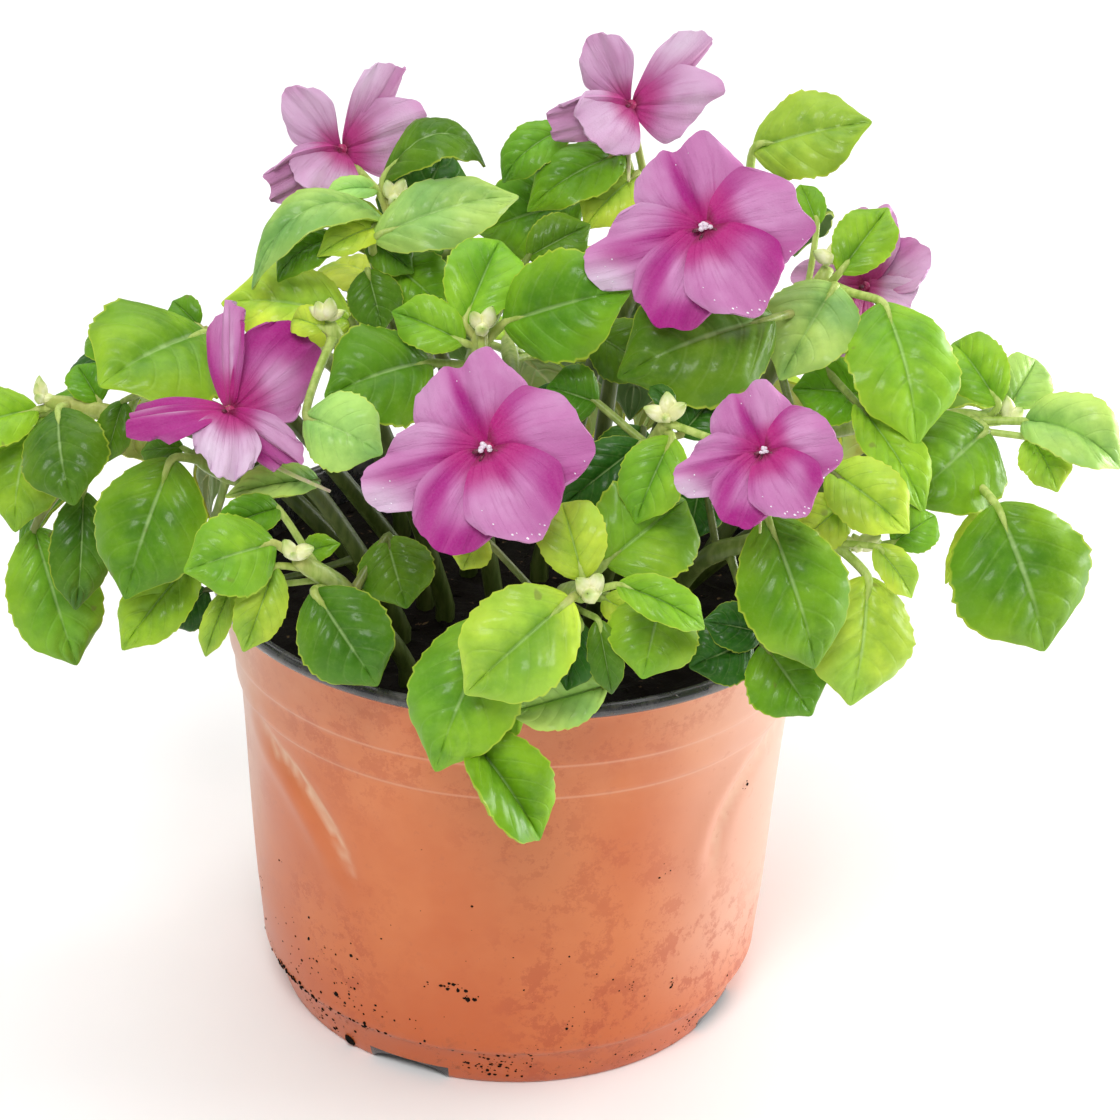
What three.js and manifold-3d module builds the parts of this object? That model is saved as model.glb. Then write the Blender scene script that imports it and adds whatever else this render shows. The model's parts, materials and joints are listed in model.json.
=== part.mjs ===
// A busy lizzie in a thin two-layer plastic nursery pot.
// Millimetres, +Z up, origin at the centre of the pot's underside, the plant's best side towards -Y.
// The pot is a revolved shell, the soil fills it, and each leafy shoot stands in a plain hole in the soil.
// A shoot is one body: its stem, its leaf stalks, its blades and the stalks of its flowers.
import * as THREE from "three";
import { mergeVertices } from "three/addons/utils/BufferGeometryUtils.js";
import Module from "manifold-3d";

const wasm = await Module();
wasm.setup();

// ---- driving dimensions ------------------------------------------------------------------------
const ROUND = 24; // sides of the pot and of the soil
const POT_HEIGHT = 91;
const RIM_RADIUS = 60; // outside of the rolled lip
const LIP_WIDTH = 2.6;
const LIP_DEPTH = 3;
const WALL = 1; // both layers of the plastic together
const GAP = 0.3; // clearance between one solid and the next
const FOOT_HEIGHT = 9; // the narrower foot below the ledge
const BASE_DISC = 18; // radius of the flat middle of the underside
const FOOT_RING = 39; // inner radius of the ring that the pot stands on
const UNDERSIDE_LIFT = 2.4; // height of the groove between the disc and the ring
const HOLE_COUNT = 6;
const HOLE_RADIUS = 4;
const HOLE_CIRCLE = 29;
const NOTCH_COUNT = 4;
const NOTCH_START = 246; // degrees from +X, anticlockwise
const NOTCH_HALF_WIDTH = 8;
const NOTCH_HEIGHT = 3;

const SOIL_TOP = 84;
const SOIL_FLOOR = 1.6 + UNDERSIDE_LIFT;
const SOIL_LUMP = 0.9; // how far the surface of the soil rises and falls
const STEM_FOOT = 72; // a stem's lower end, and below it the bottom of its hole
const STEM_LEAVES_SOIL = 87; // a stem is straight and upright up to here

const STEM_SIDES = 5;
const STEM_RADIUS = 1.9;
const STEM_TIP_RADIUS = 1.2;
const STALK_WIDTH = 1.5;
const STALK_THICKNESS = 1.2;
const FLOWER_STALK_SIDES = 4;
const FLOWER_STALK_RADIUS = 0.8;
const BLADE = 0.7; // thickness of a leaf or a petal
const STALK_SAG = 0.06; // a leaf stalk hangs by this share of its length
const STALK_BEND = 0.05; // and comes round behind its blade by this share
const SHORT_STALK = 24; // a shorter one is straight
const TOOTH = 0.055; // a leaf edge goes in and out by this share of its half width
const EVEN = 0.65; // share of a leaf's edge points that are evenly spread; the rest crowd at the ends

// ---- small helpers -----------------------------------------------------------------------------
const DEG = Math.PI / 180;
const UP = new THREE.Vector3(0, 0, 1);
const ASKEW = new THREE.Vector3(0.31, 0.95, 0.1); // a direction that no rod runs along
const vec = (x, y, z) => new THREE.Vector3(x, y, z);
const mix = (a, b, t) => a.clone().lerp(b, t);

// A seeded draw between 0 and 1, the same on every run.
function draws(seed) {
  let state = seed;
  return () => {
    state = (state * 16807) % 2147483647;
    return state / 2147483647;
  };
}

// The direction that something faces: lean degrees away from straight up, turned from -Y towards +X.
function facing(lean, turn) {
  const out = Math.sin(lean * DEG);
  return vec(Math.sin(turn * DEG) * out, -Math.cos(turn * DEG) * out, Math.cos(lean * DEG));
}

// A closed mesh of points and triangles as a solid, turned so that its faces look outwards.
function solid(points, faces) {
  let volume = 0;
  for (const [a, b, c] of faces) {
    volume += points[a].dot(points[b].clone().cross(points[c]));
  }
  const triangles = volume < 0 ? faces.map(([a, b, c]) => [a, c, b]) : faces;
  const mesh = new wasm.Mesh({
    numProp: 3,
    vertProperties: new Float32Array(points.flatMap((p) => [p.x, p.y, p.z])),
    triVerts: new Uint32Array(triangles.flat()),
  });
  return new wasm.Manifold(mesh);
}

function solidOf(geometry) {
  geometry.deleteAttribute("normal");
  geometry.deleteAttribute("uv");
  const merged = mergeVertices(geometry, 1e-3);
  const mesh = new wasm.Mesh({
    numProp: 3,
    vertProperties: new Float32Array(merged.attributes.position.array),
    triVerts: new Uint32Array(merged.index.array),
  });
  return new wasm.Manifold(mesh);
}

const fuse = (solids) => solids.reduce((whole, next) => whole.add(next));

// A profile of [radius, height] points turned round the Z axis.
function revolved(profile, sides = ROUND) {
  const points = profile.map(([radius, height]) => new THREE.Vector2(radius, height));
  const geometry = new THREE.LatheGeometry(points, sides);
  geometry.rotateX(90 * DEG); // the lathe turns round Y
  return solidOf(geometry);
}

// A sheet of points with a normal at each becomes a plate: both faces alike, and a wall round its edge.
// A normal's length is half the thickness there.
function plate(points, normals, sheet) {
  const count = points.length;
  const above = points.map((p, i) => p.clone().add(normals[i]));
  const below = points.map((p, i) => p.clone().sub(normals[i]));
  const faces = [];
  const edges = new Map();
  for (const [a, b, c] of sheet) {
    faces.push([a, b, c], [a + count, c + count, b + count]);
    for (const [from, to] of [[a, b], [b, c], [c, a]]) {
      edges.set(`${from},${to}`, [from, to]);
    }
  }
  for (const [from, to] of edges.values()) {
    if (edges.has(`${to},${from}`)) continue;
    faces.push([to, from, from + count], [to, from + count, to + count]);
  }
  return solid([...above, ...below], faces);
}

// A rod along a line of points, closed at both ends, with a radius for each point or one at each end.
function rod(line, radii, sides) {
  const points = [];
  const faces = [];
  const last = line.length - 1;
  line.forEach((centre, i) => {
    const along = line[Math.min(i + 1, last)].clone().sub(line[Math.max(i - 1, 0)]).normalize();
    const first = along.clone().cross(ASKEW).normalize();
    const second = along.clone().cross(first);
    const tapered = THREE.MathUtils.lerp(radii[0], radii.at(-1), i / last);
    const radius = radii.length > 2 ? radii[i] : tapered;
    for (let side = 0; side < sides; side += 1) {
      const angle = (side / sides) * 2 * Math.PI;
      points.push(
        centre.clone()
          .addScaledVector(first, radius * Math.cos(angle))
          .addScaledVector(second, radius * Math.sin(angle)),
      );
    }
  });
  for (let i = 0; i < last; i += 1) {
    for (let side = 0; side < sides; side += 1) {
      const a = i * sides + side;
      const b = i * sides + ((side + 1) % sides);
      faces.push([a, b, b + sides], [a, b + sides, a + sides]);
    }
  }
  for (let side = 1; side < sides - 1; side += 1) {
    faces.push([0, side + 1, side]);
    faces.push([last * sides, last * sides + side, last * sides + side + 1]);
  }
  return solid(points, faces);
}

// A smooth line through the points, starting in the direction that comes from the point before them.
function smoothLine(before, points, steps) {
  const beyond = points.at(-1).clone().multiplyScalar(2).sub(points.at(-2));
  const all = [before, ...points, beyond];
  const line = [];
  for (let i = 1; i < all.length - 2; i += 1) {
    for (let step = 0; step < steps; step += 1) {
      const t = step / steps;
      const near = all.slice(i - 1, i + 3);
      line.push(vec(...["x", "y", "z"].map((axis) => catmull(near.map((p) => p[axis]), t))));
    }
  }
  line.push(points.at(-1).clone());
  return line;
}

// A smooth curve from b to c that knows its neighbours a and d.
function catmull([a, b, c, d], t) {
  const square = 2 * a - 5 * b + 4 * c - d;
  const cube = 3 * b - a - 3 * c + d;
  return 0.5 * (2 * b + (c - a) * t + square * t * t + cube * t ** 3);
}

// ---- pot and soil ------------------------------------------------------------------------------
// The outside goes up from the underside over the foot, the ledge, two shallow steps and the lip.
const wallOutside = [
  [46, 0],
  [48.6, FOOT_HEIGHT - 0.6],
  [50.2, FOOT_HEIGHT + 1],
  [54.3, 68.8],
  [55.2, 70.4],
  [55.6, 75.8],
  [56.5, 77.4],
  [58, POT_HEIGHT - LIP_DEPTH],
  [RIM_RADIUS, POT_HEIGHT - LIP_DEPTH + 0.5],
  [RIM_RADIUS, POT_HEIGHT - 0.6],
  [RIM_RADIUS - 0.6, POT_HEIGHT],
];
const wallInside = [
  [RIM_RADIUS - LIP_WIDTH, POT_HEIGHT],
  [RIM_RADIUS - LIP_WIDTH - 0.4, POT_HEIGHT - LIP_DEPTH],
  [56.5 - WALL, 77.4],
  [54.3 - WALL, 69.2],
  [50.2 - WALL, FOOT_HEIGHT + 1.4],
  [48.6 - WALL, FOOT_HEIGHT],
  [46.2 - WALL, WALL],
];

function makePot() {
  const shell = revolved([
    [0, 0],
    [BASE_DISC, 0],
    [BASE_DISC + 2, UNDERSIDE_LIFT],
    [FOOT_RING - 2, UNDERSIDE_LIFT],
    [FOOT_RING, 0],
    ...wallOutside,
    ...wallInside,
    [FOOT_RING + 0.6, WALL],
    [FOOT_RING - 1.4, UNDERSIDE_LIFT + WALL],
    [BASE_DISC + 1.4, UNDERSIDE_LIFT + WALL],
    [BASE_DISC - 0.6, WALL],
    [0, WALL],
  ]);
  const cutters = [];
  for (let i = 0; i < HOLE_COUNT; i += 1) {
    const angle = ((i + 0.5) / HOLE_COUNT) * 2 * Math.PI;
    const hole = new THREE.CylinderGeometry(HOLE_RADIUS, HOLE_RADIUS, 10, 6);
    hole.rotateX(90 * DEG);
    hole.translate(HOLE_CIRCLE * Math.cos(angle), HOLE_CIRCLE * Math.sin(angle), 0);
    cutters.push(solidOf(hole));
  }
  // Each notch is an arch cut through the foot ring from the outside, so that water runs away.
  for (let i = 0; i < NOTCH_COUNT; i += 1) {
    const notch = new THREE.CylinderGeometry(1, 1, 14, 8);
    notch.scale(NOTCH_HALF_WIDTH, 1, NOTCH_HEIGHT);
    notch.translate(0, FOOT_RING + 8.4, 0);
    notch.rotateZ((NOTCH_START - 90 + (i * 360) / NOTCH_COUNT) * DEG);
    cutters.push(solidOf(notch));
  }
  return shell.subtract(fuse(cutters));
}

// The soil keeps a gap inside the wall. Its top is lumpy, and each stem has a plain hole in it.
function makeSoil(roots) {
  const draw = draws(4127);
  const wallAt = (height) => {
    const above = wallInside.findIndex(([, level]) => level <= height);
    const [r0, z0] = wallInside[above - 1];
    const [r1, z1] = wallInside[above];
    return r0 + ((height - z0) / (z1 - z0)) * (r1 - r0);
  };
  const side = [SOIL_FLOOR, FOOT_HEIGHT, 69.2, SOIL_TOP - 1];
  const top = [[44, SOIL_TOP], [22, SOIL_TOP - 0.4]];
  const profile = [
    [0, SOIL_FLOOR],
    ...side.map((height) => [wallAt(height) - GAP - 0.1, height]),
    ...top,
    [0, SOIL_TOP],
  ].map(([radius, height]) => new THREE.Vector2(radius, height));
  const geometry = new THREE.LatheGeometry(profile, ROUND);
  geometry.rotateX(90 * DEG);
  geometry.deleteAttribute("normal");
  geometry.deleteAttribute("uv");
  const merged = mergeVertices(geometry, 1e-3);
  const place = merged.attributes.position;
  for (let i = 0; i < place.count; i += 1) {
    if (place.getZ(i) > SOIL_TOP - 0.8) {
      place.setZ(i, place.getZ(i) + SOIL_LUMP * (draw() - 0.5));
    }
  }
  const holes = roots.map(([x, y]) =>
    rod([vec(x, y, STEM_FOOT - GAP), vec(x, y, POT_HEIGHT)], [STEM_RADIUS + 0.4], STEM_SIDES),
  );
  return solidOf(merged).subtract(fuse(holes));
}

// ---- leaves ------------------------------------------------------------------------------------
// Half the width of a blade at t, from 0 at its base to 1 at its tip, as a share of its widest place.
const BASE_POWER = 0.65;
const TIP_POWER = 0.72;
const POINT_START = 0.72; // from here to the tip the blade narrows to a point
const POINT_NARROWS = 0.55;
function halfWidth(t) {
  const widest = BASE_POWER / (BASE_POWER + TIP_POWER);
  const shape = (s) => s ** BASE_POWER * (1 - s) ** TIP_POWER;
  return (shape(t) / shape(widest)) * (1 - POINT_NARROWS * THREE.MathUtils.smoothstep(t, POINT_START, 1));
}

// A row gives base and tip of the midrib, width, which way the blade faces (lean, turn),
// how high the midrib arches, and the angle at which the halves drop (-) or rise (+) from it.
function bladeOf([bx, by, bz, tx, ty, tz, width, lean, turn, bow, fold]) {
  const base = vec(bx, by, bz);
  const along = vec(tx, ty, tz).sub(base);
  const length = along.length();
  along.normalize();
  const face = facing(lean, turn);
  face.addScaledVector(along, -face.dot(along)).normalize();
  const across = face.clone().cross(along);
  const midrib = (t) =>
    base.clone().addScaledVector(along, length * t).addScaledVector(face, bow * 4 * t * (1 - t));
  const normal = (t) =>
    face.clone().multiplyScalar(length).addScaledVector(along, -bow * 4 * (1 - 2 * t)).normalize();
  const edge = (side, t, tooth) => {
    const half = (width / 2) * halfWidth(t) * tooth;
    return midrib(t)
      .addScaledVector(across, side * half * Math.cos(fold * DEG))
      .addScaledVector(normal(t), half * Math.sin(fold * DEG));
  };
  return { along, across, length, width, midrib, normal, edge };
}

// How many points a blade has along each edge and along its midrib.
function bladeDetail(length, width) {
  if (width < 9) return [1, 0];
  return length < 20 ? [3, 1] : [5, 1];
}

// Two points and a normal across a stalk that runs in the direction given.
function stalkSection(centre, direction, across) {
  const side = across.clone().addScaledVector(direction, -across.dot(direction)).normalize();
  const normal = direction.clone().cross(side);
  const ends = [-1, 1].map((way) => centre.clone().addScaledVector(side, (way * STALK_WIDTH) / 2));
  return { ends, normal };
}

// Places for the points along a leaf's edge.
function edgePlaces(count) {
  return Array.from({ length: count }, (_, i) => {
    const t = (i + 0.75) / (count + 0.9);
    return EVEN * t + (1 - EVEN) * (0.5 - 0.5 * Math.cos(Math.PI * t));
  });
}

// A leaf is one sheet: its stalk from the stem to the base of the blade, and two strips that run
// from the midrib to the toothed edges.
function makeLeaf(row, from) {
  const blade = bladeOf(row);
  const [edgeCount, ribCount] = bladeDetail(blade.length, blade.width);
  const points = [];
  const normals = [];
  const sheet = [];
  const add = (point, normal, thickness) => {
    points.push(point);
    normals.push(normal.clone().setLength(thickness / 2));
    return points.length - 1;
  };
  const addAt = (point, t) => add(point, blade.normal(t), BLADE);

  const base = blade.midrib(0);
  const reach = from.distanceTo(base);
  const middle = mix(from, base, 0.5)
    .addScaledVector(UP, -STALK_SAG * reach)
    .addScaledVector(blade.along, -STALK_BEND * reach);
  const stalk = reach < SHORT_STALK ? [from, base] : [from, middle, base];
  const ways = stalk.slice(1).map((point, i) => point.clone().sub(stalk[i]).normalize());
  const pairs = stalk.map((centre, i) => {
    const direction = (ways[i - 1] ?? ways[0]).clone().add(ways[i] ?? blade.along).normalize();
    const { ends, normal } = stalkSection(centre, direction, blade.across);
    return ends.map((end) => add(end, normal, STALK_THICKNESS));
  });
  for (let i = 0; i < pairs.length - 1; i += 1) {
    const [[a, b], [c, d]] = [pairs[i], pairs[i + 1]];
    sheet.push([a, b, d], [a, d, c]);
  }

  const tip = addAt(blade.midrib(1), 1);
  const ribAt = Array.from({ length: ribCount }, (_, i) => (i + 1) / (ribCount + 1));
  const rib = ribAt.map((t) => addAt(blade.midrib(t), t));
  const edgeAt = edgePlaces(edgeCount);
  const places = [0, ...edgeAt, 1];
  const ribPlaces = [0, ...ribAt, 1];
  const [left, right] = pairs.at(-1);
  sheet.push([left, right, rib[0] ?? tip]);
  for (const [side, start] of [[-1, left], [1, right]]) {
    const toothed = edgeAt.map((t, i) => addAt(blade.edge(side, t, i % 2 ? 1 + TOOTH : 1 - TOOTH), t));
    const edge = [start, ...toothed, tip];
    const inner = [start, ...rib, tip];
    let e = 0;
    let r = 1;
    while (e < edge.length - 1 || r < inner.length - 1) {
      const ribDone = r === inner.length - 1;
      const edgeNext = ribDone || (e < edge.length - 1 && places[e + 1] <= ribPlaces[r + 1]);
      const third = edgeNext ? edge[e + 1] : inner[r + 1];
      const triangle = [edge[e], third, inner[r]];
      if (edgeNext) e += 1;
      else r += 1;
      if (new Set(triangle).size === 3) sheet.push(side > 0 ? triangle : triangle.toReversed());
    }
  }
  return plate(points, normals, sheet);
}

// ---- shoots ------------------------------------------------------------------------------------
// The stem stands upright in the soil, bends through its points and ends where its buds sit.
function stemLine([x, y], path) {
  const foot = vec(x, y, STEM_FOOT);
  const line = smoothLine(foot, [vec(x, y, STEM_LEAVES_SOIL), ...path.map((p) => vec(...p))], 2);
  return [foot, ...line];
}

// A leaf stalk leaves the stem at the nearest place that no other stalk has taken.
const FREE_TIP = 2.5; // length at the end of a stem that stalks keep off
const NODE_STEP = 0.7; // places for stalks come this far apart, and stalks keep two of them apart
function stalkPlaces(line) {
  const places = [];
  for (let i = 2; i < line.length; i += 1) {
    const steps = Math.ceil(line[i].distanceTo(line[i - 1]) / NODE_STEP);
    for (let step = 0; step < steps; step += 1) {
      places.push(mix(line[i - 1], line[i], step / steps));
    }
  }
  return places.filter((place) => place.distanceTo(line.at(-1)) > FREE_TIP);
}

function makeShoot(line, rows, flowerStalks) {
  let places = stalkPlaces(line);
  const leaves = rows.map((row) => {
    const base = vec(...row);
    const from = places.reduce((best, p) => (p.distanceTo(base) < best.distanceTo(base) ? p : best));
    places = places.filter((place) => place.distanceTo(from) > 2 * NODE_STEP);
    return makeLeaf(row, from);
  });
  return fuse([rod(line, [STEM_RADIUS, STEM_TIP_RADIUS], STEM_SIDES), ...leaves, ...flowerStalks]);
}

// The shoots that show from the front: where each is rooted, the points its stem goes through,
// and a row for each leaf as in bladeOf.
const SHOOTS = {
  far_left: {
    root: [-26, -10],
    path: [[-53, -16, 120], [-76, -10, 124], [-90, -6, 125]],
    leaves: [
      [-80, -8, 126, -85, -2, 131, 8, 45, 0, 1, 8],
      [-71, 0, 136, -84, 4, 133, 12, 45, 0, 2, 8],
      [-92, -6, 123, -110, -10, 115, 14, 40, 0, 4, 8],
      [-87, -12, 126, -83, -28, 114, 17, 60, -15, 2, -12],
      [-92, -4, 121, -96, -14, 101, 16, 62, -20, 3, -10],
      [-83, -12, 109, -84, -20, 87, 12, 62, 15, 2, -10],
      [-93.5, -6, 98, -85, -14, 71.5, 18, 62, 5, 2, -8],
    ],
  },
  left_top: {
    root: [-18, -6],
    path: [[-41, -26, 130], [-60, -10, 142]],
    leaves: [
      [-59, -16, 144, -76, -36, 142, 28, 48, -10, 2, -8],
      [-61, -10, 143, -66, -6, 146, 6, 50, 0, 1, 8],
      [-75, -12, 128, -78, -16, 117, 7, 60, 0, 1, 0],
    ],
  },
  left_low: {
    root: [-22, -22],
    path: [[-40, -34, 124], [-51, -36, 124], [-60, -34, 128]],
    leaves: [
      [-63, -38, 128.5, -71, -48, 105, 21, 62, -10, 2, -10],
      [-62, -30, 127, -70, -28, 125, 6, 50, 0, 1, 0],
      [-60, -32, 106, -73, -42, 91, 12, 60, 0, 2, 0],
      [-59, -22, 94, -66, -24, 87, 9, 60, 0, 1, 0],
      [-37, -36, 124, -53, -44, 124, 8, 45, 0, 2, 30],
    ],
  },
  front_left: {
    root: [-20, -38],
    path: [[-30, -52, 109], [-39, -60, 120]],
    leaves: [
      [-43, -60, 123, -58, -68, 121, 15, 57, 0, 2, -8],
      [-43, -61, 119, -48, -67, 105, 9, 60, 15, 1, 8],
      [-43, -52, 126, -54, -58, 123.5, 8, 50, 10, 2, 20],
      [-51, -56, 112, -55.5, -60, 100, 5, 55, 0, 2, 10],
      [-39, -49, 115, -32, -52, 119.5, 5, 45, 0, 1, 8],
      [-24, -46, 118, -20, -52, 107, 14, 60, 0, 1, -8],
      [-36, -60, 114, -24, -68, 99, 17, 60, 0, 2, -8],
    ],
  },
  top_left: {
    root: [-10, 8],
    path: [[-24, -8, 142], [-25, -8, 167]],
    leaves: [
      [-27, -6, 171, -7, -2, 174, 12, 22, 0, 9, -10],
      [-28, -8, 170, -38, -10, 169, 5, 45, 0, 2, 8],
      [-26, -12, 165, -51, -28, 158, 11, 28, -25, 11, -5],
      [-26, -6, 161, -41, 0, 162, 7, 35, 0, 3, 8],
      [-34, -16, 163, -46, -22, 157, 8, 45, -20, 4, 0],
      [-27, -16, 166, -38, -24, 163, 7, 50, 0, 2, 8],
      [-28, -20, 165, -2, -14, 172, 15, 38, 0, 3, -8],
      [-24, 16, 150, -16, 26, 167, 18, 60, 0, 2, 0],
      [-15, -2, 156, -24, -10, 146, 15, 62, 0, 1, 0],
      [-25, -14, 158, -15, -18, 151, 13, 55, 0, 2, -6],
      [-29, -15, 163, -21, -18, 158, 8, 50, 0, 1, 0],
      [-29, -20, 159, -26, -24, 149, 10, 58, 0, 1, -6],
    ],
  },
  centre: {
    root: [-4, -16],
    path: [[-10, -26, 133], [-8, -38, 155]],
    leaves: [
      [-11, -36, 156, -5, -22, 167, 14, 60, 0, 2, 10],
      [-11, -38, 153, -24, -34, 157, 10, 48, 0, 1, 8],
      [-4, -36, 156, 18, -40, 165, 20, 55, 0, 2, -5],
      [0, -16, 161, 11, -12, 166, 10, 60, 0, 1, 0],
      [-17, -36, 148, -35, -48, 146, 20, 50, 0, 3, -8],
      [2, -20, 136, 10, -24, 131, 10, 60, 0, 2, -6],
    ],
  },
  right_mid: {
    root: [14, -18],
    path: [[21, -40, 128], [25, -52, 145]],
    leaves: [
      [13, -40, 143, 4, -38, 145, 11, 60, 0, 1, 0],
      [26, -54, 143, 20, -60, 129, 12, 60, -15, 1, 8],
      [21, -46, 138, 7, -50, 127, 11, 60, 0, 1, 0],
      [28, -46, 140, 34, -40, 145, 10, 60, 0, 1, 0],
      [26, -51, 147, 22, -48, 150, 4, 45, 0, 1, 8],
      [22, -24, 131, 15, -30, 122, 11, 60, 0, 1, 0],
    ],
  },
  front: {
    root: [6, -36],
    path: [[8, -58, 113], [12, -72, 121]],
    leaves: [
      [15, -62, 122, 29, -50, 129, 20, 58, 0, 2, 8],
      [11, -72, 124, 7, -62, 134, 12, 60, 0, 3, 8],
      [9, -76, 122, -9, -84, 107, 19, 60, -5, 2, 6],
      [17, -76, 125, 33, -80, 119, 8, 48, 0, 3, 12],
      [15, -64, 116, 23, -68, 113, 7, 48, 0, 1, 8],
      [25, -66, 118, 22, -76, 107, 16, 58, 0, 1, -6],
      [11, -68, 113, 9, -72, 102, 9, 60, -10, 1, 0],
      [14, -70, 115, 17, -74, 102, 6, 60, 0, 1, 0],
      [16, -68, 101, -2, -74, 98, 12, 60, -10, -1, 20],
      [-3, -66, 113, -14, -80, 89, 20, 60, -12, 3, -6],
      [1, -70, 98, -8, -74, 91, 8, 60, 0, 1, 0],
      [-8, -75, 94, 5, -78, 75, 18, 63, 25, 2, 35],
      [-7, -58, 125, -10, -62, 120, 7, 60, 0, 1, 0],
    ],
  },
  right_low: {
    root: [26, -24],
    path: [[33, -40, 112], [47, -46, 120], [59, -50, 121]],
    leaves: [
      [44, -54, 105, 33, -56, 108, 9, 50, 0, 1, 0],
      [33, -30, 126, 31, -34, 113, 11, 60, 0, 1, 0],
      [42, -54, 103, 31, -60, 101, 12, 55, 0, 1, 0],
      [43, -62, 132, 53, -72, 107, 20, 62, 10, 2, -8],
      [44, -58, 105, 53, -64, 94, 16, 60, 10, 1, -6],
      [62, -54, 117, 60, -62, 95, 20, 62, 15, 2, -8],
      [63, -54, 123, 70, -58, 115, 7, 55, 20, 1, 8],
      [67, -46, 120, 75, -42, 124, 9, 50, 20, 1, 0],
      [58, -47, 128, 49, -52, 122, 10, 58, 0, 1, 0],
    ],
  },
  far_right: {
    root: [32, -2],
    path: [[62, -12, 118], [78, -10, 128], [90, -8, 128]],
    leaves: [
      [86, -18, 130, 70, -38, 124, 22, 55, 0, 3, -8],
      [89, -10, 132, 81, 4, 139, 12, 58, 0, 2, 8],
      [92, -4, 129, 98, 6, 135, 11, 50, 20, 1, 8],
      [94, -12, 129.5, 112, -21, 124.5, 15, 48, 10, 5, 20],
      [95, -14, 127, 100, -22, 120, 10, 58, 15, 1, 0],
      [86, -38, 124.5, 96.5, -50, 100.5, 28, 62, 10, 2, -10],
      [88, -12, 112, 81, -18, 98, 5, 60, 0, 1, 0],
    ],
  },
  right_top: {
    root: [18, 0],
    path: [[44, -10, 133], [55, -12, 159]],
    leaves: [
      [44, -32, 157, 16, -44, 150, 24, 50, 0, 4, -8],
      [55, -44, 133, 69, -54, 126, 13, 55, 0, 2, 8],
      [60, -32, 141, 73, -44, 125, 11, 55, 20, 2, 8],
      [64.5, -22, 156.5, 71, -40, 136.5, 21, 58, 15, 3, -6],
      [56, -18, 158, 46, -32, 145, 17, 58, -10, 2, 6],
      [57, -14, 159, 66, -4, 168, 11, 58, 0, 1, 8],
      [53, -6, 165, 50, 2, 170, 6, 60, 0, 1, 0],
      [63, -24, 139, 49, -24, 140, 13, 50, 0, 1, 0],
    ],
  },
  left_mid: {
    root: [-14, -12],
    path: [[-25, -24, 127], [-35, -36, 155]],
    leaves: [
      [-32, -18, 148, -56, -18, 151, 17, 42, 0, 4, -8],
      [-38, -52, 144, -24, -58, 140, 14, 55, 0, 3, -8],
      [-36, -36, 154, -42, -32, 154, 6, 50, 0, 1, 8],
    ],
  },
  upper_right: {
    root: [12, 10],
    path: [[38, 16, 134], [42, 20, 161]],
    leaves: [
      [42, 16, 171.5, 63.5, 12, 179, 17.5, 50, 0, 2, -6],
      [46, 24, 158, 54, 44, 141, 18, 40, 160, 3, 0],
      [41, 26, 155, 32, 48, 141, 18, 40, 200, 3, 0],
    ],
  },
  top: {
    root: [4, 6],
    path: [[16, 2, 146], [21, 6, 170]],
    leaves: [
      [7, 4, 179, -6, -2, 170, 9, 50, -20, 3, 0],
      [17, 2, 175, -1, -8, 167, 12, 50, -10, 3, 0],
      [20, 2, 171, 10, -6, 163, 11, 52, -10, 2, 0],
      [10, 12, 162, -10, 14, 154, 17, 60, 0, 2, 0],
      [12, -12, 145, 24, -14, 138, 12, 60, 0, 2, -6],
    ],
  },
};

// The shoots at the back grow by rule: a root, a tip and a seed for the leaves round the tip.
const BACK_SHOOTS = {
  back_left_low: { root: [-34, 12], tip: [-76, 24, 116], seed: 99 },
  back_left: { root: [-24, 26], tip: [-46, 54, 114], seed: 186 },
  back_middle: { root: [0, 34], tip: [-4, 66, 110], seed: 60 },
  back_right: { root: [22, 28], tip: [40, 56, 116], seed: 178 },
  back_right_low: { root: [38, 14], tip: [72, 32, 110], seed: 101 },
  back_top_left: { root: [-8, 20], tip: [-24, 32, 134], seed: 124 },
  back_top_right: { root: [14, 22], tip: [22, 36, 140], seed: 137 },
};
const BACK_LEAVES = 4;
const LEAF_TURN = 97; // degrees between one leaf and the next round a shoot
const SEED_STEP = 7919; // keeps the draws of neighbouring seeds apart

const ARCH_SHARE = 0.62; // half way out, a stem is this share of its tip's height up,
const ARCH_LIFT = 38; // and this much more
function backPath({ root: [x, y], tip: [tx, ty, tz] }) {
  return [[(x + tx) / 2, (y + ty) / 2, tz * ARCH_SHARE + ARCH_LIFT], [tx, ty, tz]];
}

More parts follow.
